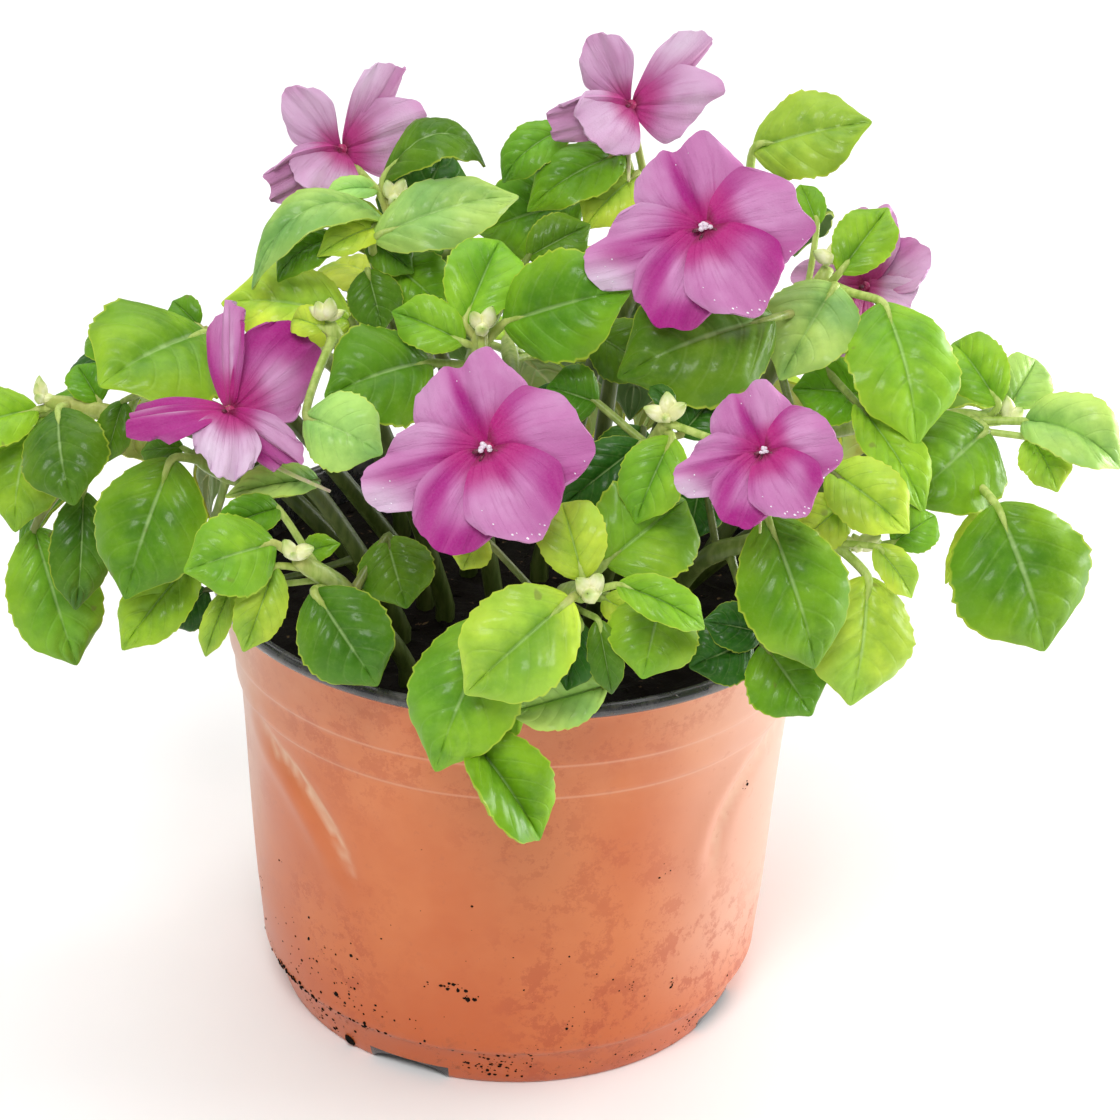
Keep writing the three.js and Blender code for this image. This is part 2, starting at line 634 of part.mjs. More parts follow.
// Each leaf's length, stalk and droop are drawn between two sizes, and its width is a drawn share of
// its length. The leaves fan out and away from the plant, each a little lower than the one before it.
const BACK_LEAF = { length: [24, 32], stalk: [4, 7], droop: [0.25, 0.7], width: [0.56, 0.66] };
const BACK_HABIT = { reach: 0.86, step: 1.5, lean: 38, bow: 3, fold: -8 };
function backLeaves({ tip, seed }) {
  const draw = draws(seed * SEED_STEP);
  const between = ([least, most]) => least + (most - least) * draw();
  const end = vec(...tip);
  const out = vec(end.x, end.y, 0).normalize();
  const side = vec(-out.y, out.x, 0);
  const start = draw() * 360;
  return Array.from({ length: BACK_LEAVES }, (_, i) => {
    const angle = (start + i * LEAF_TURN) * DEG;
    const away = side.clone().multiplyScalar(Math.cos(angle))
      .addScaledVector(out, 0.55 + 0.45 * Math.sin(angle))
      .addScaledVector(UP, 0.25 * Math.sin(angle))
      .normalize();
    const length = between(BACK_LEAF.length);
    const stalk = between(BACK_LEAF.stalk);
    const droop = between(BACK_LEAF.droop);
    const base = end.clone().addScaledVector(away, stalk).addScaledVector(UP, -BACK_HABIT.step * i);
    const tipAt = base.clone()
      .addScaledVector(away, length * BACK_HABIT.reach)
      .addScaledVector(UP, -length * droop);
    const width = length * between(BACK_LEAF.width);
    const middle = mix(base, tipAt, 0.5);
    const turn = Math.atan2(middle.x, -middle.y) / DEG;
    const { lean, bow, fold } = BACK_HABIT;
    return [...base.toArray(), ...tipAt.toArray(), width, lean, turn, bow, fold];
  });
}

// ---- blooms ------------------------------------------------------------------------------------
// A petal's row: direction round the bloom, length, width, rise out of the bloom's plane, roll about
// its own length, bow, claw (above 1 its base is narrow, like a spoon) and the depth of the notch in
// its end. All angles are in degrees. Each petal lies on the one before it.
const OPEN = [
  [112, 19.5, 21, 1, 0, 0.5, 0.9, 0.2],
  [-112, 20, 17, 4, 0, 0.5, 0.8, 0.02],
  [196, 23, 15, 7, 0, 0.5, 1.1, 0.03],
  [12, 20.5, 20, 10, 0, 0.5, 0.8, 0.04],
  [-56, 20, 19, 13, 0, 0.5, 0.8, 0.02],
];
const SIDEWAYS = [
  [136, 15, 12, 8, 30, 1, 1.9, 0],
  [59, 19.5, 11, 2, -50, 1, 1.2, 0.05],
  [21, 17, 15, -12, -20, 1, 1.1, 0.08],
  [240, 13, 15, 25, 15, 1, 1, 0.02],
  [213, 17, 10, 5, 40, 1, 1, 0.05],
];
const RUFFLED = [
  [92, 21, 11, -5, 50, 1, 1, 0.06],
  [45, 21, 18, -12, -10, 2, 1.2, 0.1],
  [188, 20, 12, 10, -50, 2, 1, 0.08],
  [268, 14, 13, 25, 10, 2, 1, 0],
  [-38, 17, 11, 0, -40, 1, 1, 0.06],
];
const HALF_SEEN = [
  [38, 14, 14, -5, 20, 1, 0.9, 0.04],
  [84, 17, 12, -10, 10, 1, 0.9, 0.03],
  [-8, 10, 12, 0, 30, 1, 0.9, 0.02],
  [261, 22, 11, 5, 45, 1, 1, 0.05],
  [180, 14, 12, -10, 0, 1, 0.9, 0.04],
];

// Where each bloom is, its size, its turn about the plant, its spin about its own axis and its petals,
// and the shoot whose stem carries it, with the place on that stem from 0 to 1.
const BLOOMS = {
  front: {
    at: [-6, -68, 146], size: 1, turn: -2, spin: 0, petals: OPEN, on: "centre", place: 1,
  },
  top_right: {
    at: [31, -36, 175], size: 1, turn: -2, spin: 0, petals: OPEN, on: "upper_right", place: 1,
  },
  right: {
    at: [41, -70, 148], size: 0.72, turn: -2, spin: 0, petals: OPEN, on: "right_mid", place: 1,
  },
  left: {
    at: [-52, -44, 141], size: 1, turn: 0, spin: 0, petals: RUFFLED, on: "left_low", place: 0.62,
  },
  top_left: {
    at: [-35, 2, 174], size: 1, turn: 0, spin: 0, petals: SIDEWAYS, on: "top_left", place: 1,
  },
  top: {
    at: [18, 0, 185], size: 1, turn: 0, spin: -15, petals: SIDEWAYS, on: "top", place: 1,
  },
  far_right: {
    at: [63.5, 2, 150], size: 1, turn: 0, spin: 0, petals: HALF_SEEN, on: "right_top", place: 0.55,
  },
};
const BLOOM_LEAN = 60; // every bloom looks this many degrees away from straight up

function bloomFrame({ at, turn }) {
  const axis = facing(BLOOM_LEAN, turn);
  const right = UP.clone().cross(axis).normalize();
  return { centre: vec(...at), axis, right, high: axis.clone().cross(right) };
}

// A point of a petal at c from -1 to 1 across it and r from 0 to 1 along it. Its end is rounded,
// notched and uneven; across it is waved, cupped where it is rolled, and creased along its middle.
const COLUMNS = [-1, -0.5, 0, 0.5, 1];
const EDGE_DROP = 0.5; // how far a petal's edges hang below its middle
const WAVE = 0.9; // how far the end of a petal waves up and down
const BOW = 2.4; // how far a petal whose bow is 1 rises between its two ends
const CUP = 1.6; // how far the edges of a petal come up for each radian of roll
const CREASE = 3; // depth of the crease for each unit of notch
const UNEVEN = 0.05; // how much of its length a petal gains and loses along its end
const END_ROUND = 0.3; // how much shorter a petal is at its sides than in its middle
const END_POWER = 2.4;
const MIDDLE_WIDTH = 0.28; // the notch and the crease lie within this share of the half width
const BASE_SPREAD = 0.12; // how far round its curve a petal's outline already is where it starts
const USUAL_WIDTH = 16; // a petal of this width waves by the whole of WAVE
function petalSurface(frame, row, size, spin) {
  const [direction, length, width, rise, roll, bow, claw, notch] = row;
  const angle = (direction + spin) * DEG;
  const flat = frame.right.clone().multiplyScalar(Math.cos(angle))
    .addScaledVector(frame.high, Math.sin(angle));
  const along = flat.multiplyScalar(Math.cos(rise * DEG)).addScaledVector(frame.axis, Math.sin(rise * DEG));
  const level = frame.axis.clone().addScaledVector(along, -frame.axis.dot(along)).normalize();
  const face = level.clone().multiplyScalar(Math.cos(roll * DEG))
    .addScaledVector(level.clone().cross(along), Math.sin(roll * DEG));
  const across = face.clone().cross(along);
  const point = (c, r) => {
    const middle = Math.exp(-((c / MIDDLE_WIDTH) ** 2));
    const rounded = 1 - END_ROUND * Math.abs(c) ** END_POWER;
    const reach = rounded - notch * middle + UNEVEN * Math.sin(3.3 * c + 3 * angle);
    const spread = Math.sin((Math.PI / 2) * Math.min(1, BASE_SPREAD + r)) ** claw;
    const wave = WAVE * Math.sin(5.1 * c + 2 * angle) * r * r * ((width * size) / USUAL_WIDTH);
    const bend = BOW * bow * r * (1 - r) + CUP * roll * DEG * c * c * r - CREASE * notch * middle * r;
    return frame.centre.clone()
      .addScaledVector(along, r * reach * length * size)
      .addScaledVector(across, (c * width * size * spread) / 2)
      .addScaledVector(face, size * bend + wave - EDGE_DROP * Math.abs(c) * r);
  };
  const normal = (c, r) => {
    const step = 1e-3;
    const out = point(c, r + step).sub(point(c, r - step));
    const over = point(c + step, r).sub(point(c - step, r));
    const up = out.cross(over).normalize();
    return up.dot(face) < 0 ? up.negate() : up;
  };
  return { point, normal, face };
}

function makePetal(frame, row, size, spin) {
  const petal = petalSurface(frame, row, size, spin);
  const points = [petal.point(0, 0)];
  const normals = [petal.face.clone().setLength(BLADE / 2)];
  for (const r of [0.5, 1]) {
    for (const c of COLUMNS) {
      points.push(petal.point(c, r));
      normals.push(petal.normal(c, r).setLength(BLADE / 2));
    }
  }
  const sheet = [];
  const wide = COLUMNS.length;
  for (let i = 1; i < wide; i += 1) {
    sheet.push([0, i + 1, i]);
    sheet.push([i, i + 1, i + 1 + wide], [i, i + 1 + wide, i + wide]);
  }
  return plate(points, normals, sheet);
}

const EYE_RADIUS = 1.4;
const EYE_HEIGHT = 2.8; // how far the eye stands up from the middle of the petals
const EYE_DEPTH = 2.6; // how far the eye goes down from the middle of the petals
const EYE_TAPER = 0.7; // the eye's upper end is this share of its radius
const LAYER = 0.8; // from one petal to the next along the bloom's axis
function makeBloom(bloom) {
  const frame = bloomFrame(bloom);
  const onAxis = (height) => frame.centre.clone().addScaledVector(frame.axis, height);
  const petals = bloom.petals.map((row, i) => {
    const layer = { ...frame, centre: onAxis((i - 2) * LAYER) };
    return makePetal(layer, row, bloom.size, bloom.spin);
  });
  const eye = rod([onAxis(-EYE_DEPTH), onAxis(EYE_HEIGHT)], [EYE_RADIUS, EYE_RADIUS * EYE_TAPER], 4);
  return fuse([eye, ...petals]);
}

// The flower's stalk bends back behind the bloom and ends just short of it.
const BACK_BEND = 0.12; // how far it bends back, as a share of its length
function makeFlowerStalk(line, bloom) {
  const { centre, axis } = bloomFrame(bloom);
  const from = line[Math.round((line.length - 1) * bloom.place)];
  const to = centre.clone().addScaledVector(axis, -EYE_DEPTH - GAP - FLOWER_STALK_RADIUS);
  const middle = mix(from, to, 0.5).addScaledVector(axis, -BACK_BEND * from.distanceTo(to));
  return rod(smoothLine(from, [from, middle, to], 2), [FLOWER_STALK_RADIUS], FLOWER_STALK_SIDES);
}

// ---- buds --------------------------------------------------------------------------------------
// A cluster of pointed buds sits just clear of the tip of its shoot. Each row is a bud: the way it
// points (lean, turn), its length and its radius.
const BUD_SIDES = 4;
const BUD_FOOT = 0.5; // a bud's lower end is this share of its radius,
const BUD_WIDEST = 0.45; // it is widest this share of its length up,
const BUD_POINT = 0.2; // and its point has this radius
const BUDS = {
  far_left: [[10, -90, 5, 1.2], [5, 60, 4.5, 1.2]],
  top_left: [[35, 50, 5.5, 1.4], [30, -50, 4.5, 1.3], [75, 10, 4.5, 1.3]],
  left_mid: [[30, 30, 5.5, 1.4], [35, -60, 4.5, 1.3]],
  centre: [[30, 60, 5.5, 1.5], [35, -50, 5, 1.3], [75, 0, 4.5, 1.3]],
  right_mid: [[5, -60, 5, 1.7], [35, 50, 5, 1.5], [60, -80, 5, 1.5]],
  front_left: [[30, -20, 5, 1.4], [50, 70, 5, 1.4]],
  front: [[35, -45, 5, 1.6], [20, 60, 5.5, 1.6], [65, 0, 5, 1.6]],
  right_low: [[50, 85, 5, 1.5], [70, 95, 4.5, 1.4]],
  far_right: [[5, -30, 5.5, 1.5], [50, 60, 4.5, 1.4]],
  right_top: [[50, -50, 5.5, 1.4], [50, 160, 4.5, 1.4]],
};

function makeBuds(line, rows) {
  const tip = line.at(-1);
  const onward = tip.clone().sub(line.at(-2)).normalize();
  const longest = Math.max(...rows.map((row) => row[3]));
  const heart = tip.clone().addScaledVector(onward, 2 * GAP + 0.5 * longest);
  const buds = rows.map(([lean, turn, length, radius]) => {
    const way = facing(lean, turn);
    const along = (distance) => heart.clone().addScaledVector(way, distance);
    const middleLine = [along(0), along(BUD_WIDEST * length), along(length)];
    return rod(middleLine, [BUD_FOOT * radius, radius, BUD_POINT], BUD_SIDES);
  });
  return fuse(buds);
}

// ---- the whole ---------------------------------------------------------------------------------
const plant = new THREE.Group();
plant.name = "busy_lizzie_in_pot";

function addNode(name, body, { color, roughness, metalness = 0 }) {
  const { numProp, vertProperties, triVerts } = body.getMesh();
  const geometry = new THREE.BufferGeometry();
  const place = new Float32Array((vertProperties.length / numProp) * 3);
  for (let i = 0; i < place.length / 3; i += 1) {
    place.set(vertProperties.subarray(i * numProp, i * numProp + 3), i * 3);
  }
  geometry.setAttribute("position", new THREE.BufferAttribute(place, 3));
  geometry.setIndex(Array.from(triVerts));
  const flat = geometry.toNonIndexed();
  flat.computeVertexNormals();
  const mesh = new THREE.Mesh(flat, new THREE.MeshStandardMaterial({ color, roughness, metalness }));
  mesh.name = name;
  plant.add(mesh);
}

const TERRACOTTA = { color: 0xc9713f, roughness: 0.42 };
const SOIL = { color: 0x1d1611, roughness: 0.95 };
const LEAF = { color: 0x5f9a2c, roughness: 0.4 };
const SHADED_LEAF = { color: 0x3d6f22, roughness: 0.45 };
const PETAL = { color: 0xc3268f, roughness: 0.5 };
const BUD = { color: 0xdcd9a0, roughness: 0.45 };

const growing = { ...SHOOTS };
for (const [name, shoot] of Object.entries(BACK_SHOOTS)) {
  growing[name] = { root: shoot.root, path: backPath(shoot), leaves: backLeaves(shoot) };
}

addNode("pot", makePot(), TERRACOTTA);
addNode("soil", makeSoil(Object.values(growing).map((shoot) => shoot.root)), SOIL);
for (const [name, shoot] of Object.entries(growing)) {
  const line = stemLine(shoot.root, shoot.path);
  const stalks = Object.values(BLOOMS)
    .filter((bloom) => bloom.on === name)
    .map((bloom) => makeFlowerStalk(line, bloom));
  const shade = name in BACK_SHOOTS ? SHADED_LEAF : LEAF;
  addNode(`shoot_${name}`, makeShoot(line, shoot.leaves, stalks), shade);
  if (name in BUDS) addNode(`buds_${name}`, makeBuds(line, BUDS[name]), BUD);
}
for (const [name, bloom] of Object.entries(BLOOMS)) {
  addNode(`bloom_${name}`, makeBloom(bloom), PETAL);
}

export default plant;
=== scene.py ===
# %% [markdown]
# # A busy lizzie in its nursery pot
#
# A busy lizzie is a soft, juicy plant: thick pale stems, broad leaves with a row of tiny teeth, and flat
# five-petalled flowers with a long thin spur behind. It grows here in the thinnest of pots, two layers of
# plastic sheet drawn over a mould, brown outside and black inside.
#
# The plain solids that carry the part are loaded first. Every finer piece below stands in the place of one
# of them, so it is laid out with the same sizes. Tables are in millimetres, because a plant is easy to think
# about that way, and a mesh gets its metres only when its points are set.

# %% Load the plain solids
import json
import math

import bpy
import numpy as np
from mathutils import Matrix, Vector, noise

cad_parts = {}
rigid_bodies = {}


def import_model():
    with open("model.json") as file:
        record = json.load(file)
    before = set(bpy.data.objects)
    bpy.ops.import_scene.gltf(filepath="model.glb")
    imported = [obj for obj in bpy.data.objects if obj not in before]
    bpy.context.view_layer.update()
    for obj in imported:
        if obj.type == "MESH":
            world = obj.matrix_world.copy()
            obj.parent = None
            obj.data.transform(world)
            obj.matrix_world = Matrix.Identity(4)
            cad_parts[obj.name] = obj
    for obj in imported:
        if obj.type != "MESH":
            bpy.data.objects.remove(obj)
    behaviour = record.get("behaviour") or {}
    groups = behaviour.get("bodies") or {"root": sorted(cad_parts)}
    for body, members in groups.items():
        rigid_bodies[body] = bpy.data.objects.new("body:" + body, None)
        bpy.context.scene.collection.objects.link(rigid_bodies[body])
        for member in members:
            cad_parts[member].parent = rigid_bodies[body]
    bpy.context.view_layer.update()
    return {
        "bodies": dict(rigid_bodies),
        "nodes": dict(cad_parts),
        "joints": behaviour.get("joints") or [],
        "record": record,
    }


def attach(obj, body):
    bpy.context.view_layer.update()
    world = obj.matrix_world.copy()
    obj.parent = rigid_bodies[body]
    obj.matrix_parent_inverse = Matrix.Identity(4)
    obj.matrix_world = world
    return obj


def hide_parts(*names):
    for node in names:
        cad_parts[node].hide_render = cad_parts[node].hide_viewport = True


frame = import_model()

MM = 0.001

# %% [markdown]
# ## The camera
#
# The pot's lip and foot are circles, so the ellipses they make tell how far off the eye is, how high, and how
# long the lens. The camera could be aimed with a Track To constraint, but it also leans a little sideways,
# and three axes written out keep that lean plain to see: right, up, and back towards the eye.

# %% Camera
EYE_DISTANCE, EYE_HEIGHT = 598.3, 389.4
YAW, PITCH, ROLL = (math.radians(angle) for angle in (0.76, 26.46, 2.05))
ahead = Vector((math.sin(YAW) * math.cos(PITCH), math.cos(YAW) * math.cos(PITCH), -math.sin(PITCH)))
level = Vector((math.cos(YAW), -math.sin(YAW), 0))
overhead = level.cross(ahead)
right = level * math.cos(ROLL) + overhead * math.sin(ROLL)
upward = overhead * math.cos(ROLL) - level * math.sin(ROLL)
bpy.ops.object.camera_add()
camera = bpy.context.object
camera.matrix_world = Matrix.Translation((0, -EYE_DISTANCE * MM, EYE_HEIGHT * MM)) @ Matrix(
    (right, upward, -ahead)
).transposed().to_4x4()
camera.data.sensor_width = 36
camera.data.lens = 110.0
bpy.context.scene.camera = camera
print("camera at", [round(v, 3) for v in camera.location], "lens", camera.data.lens)

# %% [markdown]
# ## Shader sums
#
# A finish is a small network of nodes. Wired by hand it soon hides the idea, so two helpers let it be written
# as sums. A Signal wraps one socket, and adding, subtracting or multiplying signals adds the Math nodes. A
# Finish owns the material and adds every other node through one method.

# %% Signals
class Signal:
    """One socket of a finish, which sums can be made with."""

    def __init__(self, finish, socket):
        self.finish = finish
        self.socket = socket

    def _sum(self, operation, first, second):
        return self.finish.add("ShaderNodeMath", {"operation": operation}, {0: first, 1: second})

    def __add__(self, other):
        return self._sum("ADD", self, other)

    def __radd__(self, other):
        return self._sum("ADD", other, self)

    def __sub__(self, other):
        return self._sum("SUBTRACT", self, other)

    def __rsub__(self, other):
        return self._sum("SUBTRACT", other, self)

    def __mul__(self, other):
        return self._sum("MULTIPLY", self, other)

    def __rmul__(self, other):
        return self._sum("MULTIPLY", other, self)

    def __abs__(self):
        return self._sum("ABSOLUTE", self, 0)

    def fraction(self):
        return self._sum("FRACT", self, 0)


print("signals can be added, subtracted and multiplied")


# %% Finishes
class Finish:
    """A material whose Principled shader is fed step by step."""

    def __init__(self, name, **constants):
        self.material = bpy.data.materials.new(name)
        self.material.use_nodes = True
        self.tree = self.material.node_tree
        self.shader = self.tree.nodes["Principled BSDF"]
        for socket, value in constants.items():
            self.shader.inputs[socket.replace("_", " ")].default_value = value

    def feed(self, socket, value):
        if isinstance(value, Signal):
            self.tree.links.new(value.socket, socket)
        else:
            socket.default_value = value

    def add(self, kind, settings=(), inputs=(), give=0):
        """Adds a node, sets it up, feeds it, and gives back one of its outputs, or all of them."""
        node = self.tree.nodes.new(kind)
        for name, value in dict(settings).items():
            setattr(node, name, value)
        for name, value in dict(inputs).items():
            self.feed(node.inputs[name], value)
        if give == "all":
            return [Signal(self, socket) for socket in node.outputs]
        return Signal(self, node.outputs[give])

    def place(self):
        """Where a point is in the object's own space."""
        return self.add("ShaderNodeTexCoord", give=3)

    def parts(self, vector):
        return self.add("ShaderNodeSeparateXYZ", {}, {0: vector}, give="all")

    def noted(self, name, give):
        """What the mesh keeps under a name for each point: its colour, its vector or its number."""
        outputs = {"colour": 0, "vector": 1, "number": 2}
        return self.add("ShaderNodeAttribute", {"attribute_name": name}, give=outputs[give])

    def grain(self, scale, detail=3.0, roughness=0.5, vector=None):
        inputs = {"Scale": scale, "Detail": detail, "Roughness": roughness, "Vector": vector or self.place()}
        return self.add("ShaderNodeTexNoise", {}, inputs)

    def rise(self, value, low, high, from_value=0.0, to_value=1.0):
        """Goes smoothly from one value to another while the signal goes from low to high."""
        inputs = {0: value, 1: low, 2: high, 3: from_value, 4: to_value}
        return self.add("ShaderNodeMapRange", {"interpolation_type": "SMOOTHSTEP"}, inputs)

    def spots(self, low, high, scale, detail=3.0, roughness=0.5):
        """Soft spots: 0 where the grain stays below low, and 1 where it is above high."""
        return self.rise(self.grain(scale, detail, roughness), low, high)

    def blend(self, factor, first, second, how="MIX"):
        settings = {"data_type": "RGBA", "blend_type": how}
        colours = [c if isinstance(c, Signal) else (*c, 1) for c in (first, second)]
        return self.add("ShaderNodeMix", settings, {0: factor, 6: colours[0], 7: colours[1]}, give=2)

    def layers(self, colour, *coats):
        """Lays coats over a colour one by one. Each says how much of it shows, and its own colour."""
        for shows, coat in coats:
            colour = self.blend(shows, colour, coat)
        return colour

    def times(self, colour, factors):
        """The colour with its red, green and blue each made stronger or weaker."""
        return self.blend(1.0, colour, factors, "MULTIPLY")

    def finish(self, colour, roughness=None, height=None, depth=0.0003, strength=0.6):
        self.feed(self.shader.inputs["Base Color"], colour)
        if roughness is not None:
            self.feed(self.shader.inputs["Roughness"], roughness)
        if height is not None:
            inputs = {"Height": height, "Distance": depth, "Strength": strength}
            self.feed(self.shader.inputs["Normal"], self.add("ShaderNodeBump", {}, inputs))
        print("finish:", self.material.name, "with", len(self.tree.nodes), "nodes")
        return self.material


print("finishes can be made")

# %% [markdown]
# ## Floor and light
#
# A plant on white paper wants light that comes from nearly everywhere, so that no leaf goes black and the
# soft plastic shows broad, milky reflections. A sun would cut hard shadows. Here a pale world fills in, a
# lamp in front and above models the leaves, and a wide one overhead lights the paper and the tops of the
# leaves. A low lamp at the right puts the sheen on the pot, and a weak one lifts the left.

# %% Floor and lamps
def lamp(name, place, aim, size, power):
    """A rectangular lamp. Lengths are in metres and power in watts."""
    bpy.ops.object.light_add(type="AREA", location=place)
    made = bpy.context.object
    made.name = name
    made.data.shape = "RECTANGLE"
    made.data.size, made.data.size_y = size
    made.data.energy = power
    made.rotation_euler = (Vector(aim) - Vector(place)).to_track_quat("-Z", "Y").to_euler()


FLOOR_SIZE, WORLD_STRENGTH = 8, 0.34
bpy.ops.mesh.primitive_plane_add(size=FLOOR_SIZE)
floor = bpy.context.object
floor.name = "studio_floor"
paper = Finish("studio_paper", Roughness=0.9)
pulp = paper.spots(0.3, 0.7, 30.0)
floor.data.materials.append(paper.finish(paper.blend(pulp, (0.955, 0.955, 0.955), (0.97, 0.97, 0.97))))

world = bpy.data.worlds.new("studio_world")
world.use_nodes = True
world.node_tree.nodes["Background"].inputs["Color"].default_value = (1, 1, 1, 1)
world.node_tree.nodes["Background"].inputs["Strength"].default_value = WORLD_STRENGTH
bpy.context.scene.world = world
bpy.context.scene.view_settings.view_transform = "Standard"

lamp("front_lamp", (-0.15, -0.95, 1.15), (0, 0, 0.1), (0.6, 0.5), 12)
lamp("left_lamp", (-1.0, 0.15, 0.45), (0, 0, 0.08), (0.5, 0.9), 1)
lamp("right_lamp", (0.75, 0.25, 0.17), (0, 0, 0.06), (0.7, 0.3), 7)
lamp("top_lamp", (0.0, 0.75, 1.9), (0, 0.45, 0), (2.4, 2.0), 26)

# %% [markdown]
# ## The pot's outline, turned once round
#
# A drawn plastic pot is a surface of revolution, so its whole shape is one line: from the middle of the
# underside out over the ring it stands on, up the foot and over a small ledge, up the wall past two shallow
# steps, round the rolled lip, and back down the inside. It could be a stack of cylinders, but the steps and
# the lip would need joins. Extruding one point along the line and spinning it keeps every curve in one skin.

# %% Pot outline
SPIN_STEPS = 240
WALL_FOOT, WALL_TOP, WALL_ROWS = (50.2, 10.4), (54.2, 67.6), 40
FOOT = [  # radius and height, from the middle of the underside outwards
    (0, 0), (9, 0), (17.6, 0), (18.4, 0.3), (19.6, 2.1), (20.4, 2.4), (28, 2.4), (36.6, 2.4), (37.4, 2.1),
    (38.6, 0.3), (39.4, 0), (42, 0), (44.8, 0), (45.7, 0.25), (46.1, 0.8), (46.8, 3), (47.6, 5.6),
    (48.35, 7.9), (48.7, 8.6), (49.3, 9.1), (49.9, 9.6),
]
STEPS = [
    (54.3, 68.7), (54.6, 69.3), (55.0, 69.9), (55.2, 70.7), (55.4, 73.4), (55.55, 75.6), (55.75, 76.3),
    (56.15, 76.9), (56.4, 77.5), (56.55, 78.4), (57, 81.6), (57.5, 84.8), (57.85, 87.2), (58.1, 88),
    (58.7, 88.3),
]
OUTSIDE = FOOT + [tuple(place) for place in np.linspace(WALL_FOOT, WALL_TOP, WALL_ROWS)] + STEPS
LIP = [
    (59.4, 88.6), (59.85, 89.1), (60, 89.7), (59.9, 90.3), (59.5, 90.8), (58.8, 91), (58.1, 90.85),
    (57.6, 90.4), (57.35, 89.6), (57.05, 88),
]
INSIDE = [
    (56.4, 83.6), (55.5, 77.6), (54.6, 76.2), (54.2, 71), (53.3, 69),
    *(tuple(place) for place in np.linspace((53.2, 67.6), (49.2, 10.8), WALL_ROWS)),
    (48.2, 9.4), (47.5, 8.4), (45.1, 1.2), (39.8, 1), (37.8, 3.4), (19.2, 3.4), (17.2, 1), (0, 1),
]


def choose(*pieces):
    """Selects these pieces and nothing else, and makes the first of them active."""
    bpy.ops.object.select_all(action="DESELECT")
    for piece in pieces:
        piece.select_set(True)
    if pieces:
        bpy.context.view_layer.objects.active = pieces[0]


def turned(name, outline, steps):
    """One point is extruded along the outline, and the line is spun round the upright axis."""
    choose()
    bpy.ops.mesh.primitive_plane_add(size=MM)
    piece = bpy.context.object
    piece.name = name
    bpy.ops.object.mode_set(mode="EDIT")
    bpy.ops.mesh.select_all(action="SELECT")
    bpy.ops.mesh.merge(type="CENTER")
    radius, height = outline[0]
    bpy.ops.transform.translate(value=(radius * MM, 0, height * MM))
    for (r0, z0), (r1, z1) in zip(outline, outline[1:]):
        move = {"value": ((r1 - r0) * MM, 0, (z1 - z0) * MM)}
        bpy.ops.mesh.extrude_vertices_move(TRANSFORM_OT_translate=move)
    bpy.ops.mesh.select_all(action="SELECT")
    bpy.ops.mesh.spin(steps=steps, angle=2 * math.pi, center=(0, 0, 0), axis=(0, 0, 1))
    bpy.ops.mesh.select_all(action="SELECT")
    bpy.ops.mesh.remove_doubles(threshold=0.01 * MM)
    bpy.ops.mesh.normals_make_consistent(inside=False)
    bpy.ops.object.mode_set(mode="OBJECT")
    return piece


pot = turned("nursery_pot", OUTSIDE + LIP + INSIDE, SPIN_STEPS)
print("pot:", len(pot.data.polygons), "faces, size", [round(v / MM, 1) for v in pot.dimensions])

# %% [markdown]
# ## Holes, notches and dents
#
# Water leaves through six holes in the raised part of the floor and through four low arches in the foot. Both
# are cut, as they are in the mould, with plain tools and a Boolean. The wall of such a pot is so thin that a
# hand's squeeze stays in it: two curved creases run down from the steps, and the wall is nowhere quite round.
# Those are pushed into the points, because a shader bump would leave the edge of the pot perfectly round.

# %% Cut the floor and the foot
HOLES, HOLE_RADIUS, HOLE_CIRCLE = 6, 4, 29
NOTCHES, NOTCH_START, NOTCH_CIRCLE, NOTCH_HALF_WIDTH, NOTCH_HEIGHT = 4, 246, 47.4, 8, 3


def cut(piece, tool):
    """Takes the tool's shape away from the piece."""
    boolean = piece.modifiers.new("cut", "BOOLEAN")
    boolean.operation = "DIFFERENCE"
    boolean.object = tool
    boolean.solver = "EXACT"
    choose(piece)
    bpy.ops.object.modifier_apply(modifier=boolean.name)
    bpy.data.objects.remove(tool)


def rod_tool(radius, length, sides, place, turn=(0, 0, 0)):
    choose()
    size = {"radius": radius * MM, "depth": length * MM, "vertices": sides}
    bpy.ops.mesh.primitive_cylinder_add(location=[v * MM for v in place], rotation=turn, **size)
    return bpy.context.object


for i in range(HOLES):
    turn = (i + 0.5) / HOLES * 2 * math.pi
    place = (HOLE_CIRCLE * math.cos(turn), HOLE_CIRCLE * math.sin(turn), 2)
    cut(pot, rod_tool(radius=HOLE_RADIUS, length=8, sides=24, place=place))
for i in range(NOTCHES):
    turn = math.radians(NOTCH_START + i * 360 / NOTCHES)
    place = (NOTCH_CIRCLE * math.cos(turn), NOTCH_CIRCLE * math.sin(turn), 0)
    arch = rod_tool(radius=1, length=14, sides=32, place=place, turn=(0, math.pi / 2, turn))
    arch.scale = (NOTCH_HEIGHT, NOTCH_HALF_WIDTH, 1)
    cut(pot, arch)
print("pot after cutting:", len(pot.data.polygons), "faces")

# %% Squeeze the wall
CREASES = [  # angle and height of points down each crease, how deep it is and how much it shows
    ([(207, 67), (216, 63.5), (221, 61), (226.5, 56.5), (231, 51.5), (234, 46)], 1.1, 1.0),
    ([(343, 67), (331, 64), (324.5, 60.4), (320, 55.6), (318, 49), (318.5, 43)], 1.1, 0.4),
]
WALL_RADIUS = 53
OVAL, WAVY = 0.35, 0.12  # how far the wall goes in and out, twice and seven times round the pot
DENT_WIDTH, BULGE, BULGE_AWAY, BULGE_SPREAD = 2.6, 0.6, 4.5, 8
RUB_AWAY, RUB_WIDTH = 1.2, 0.75  # the pale line that a crease leaves in the plastic


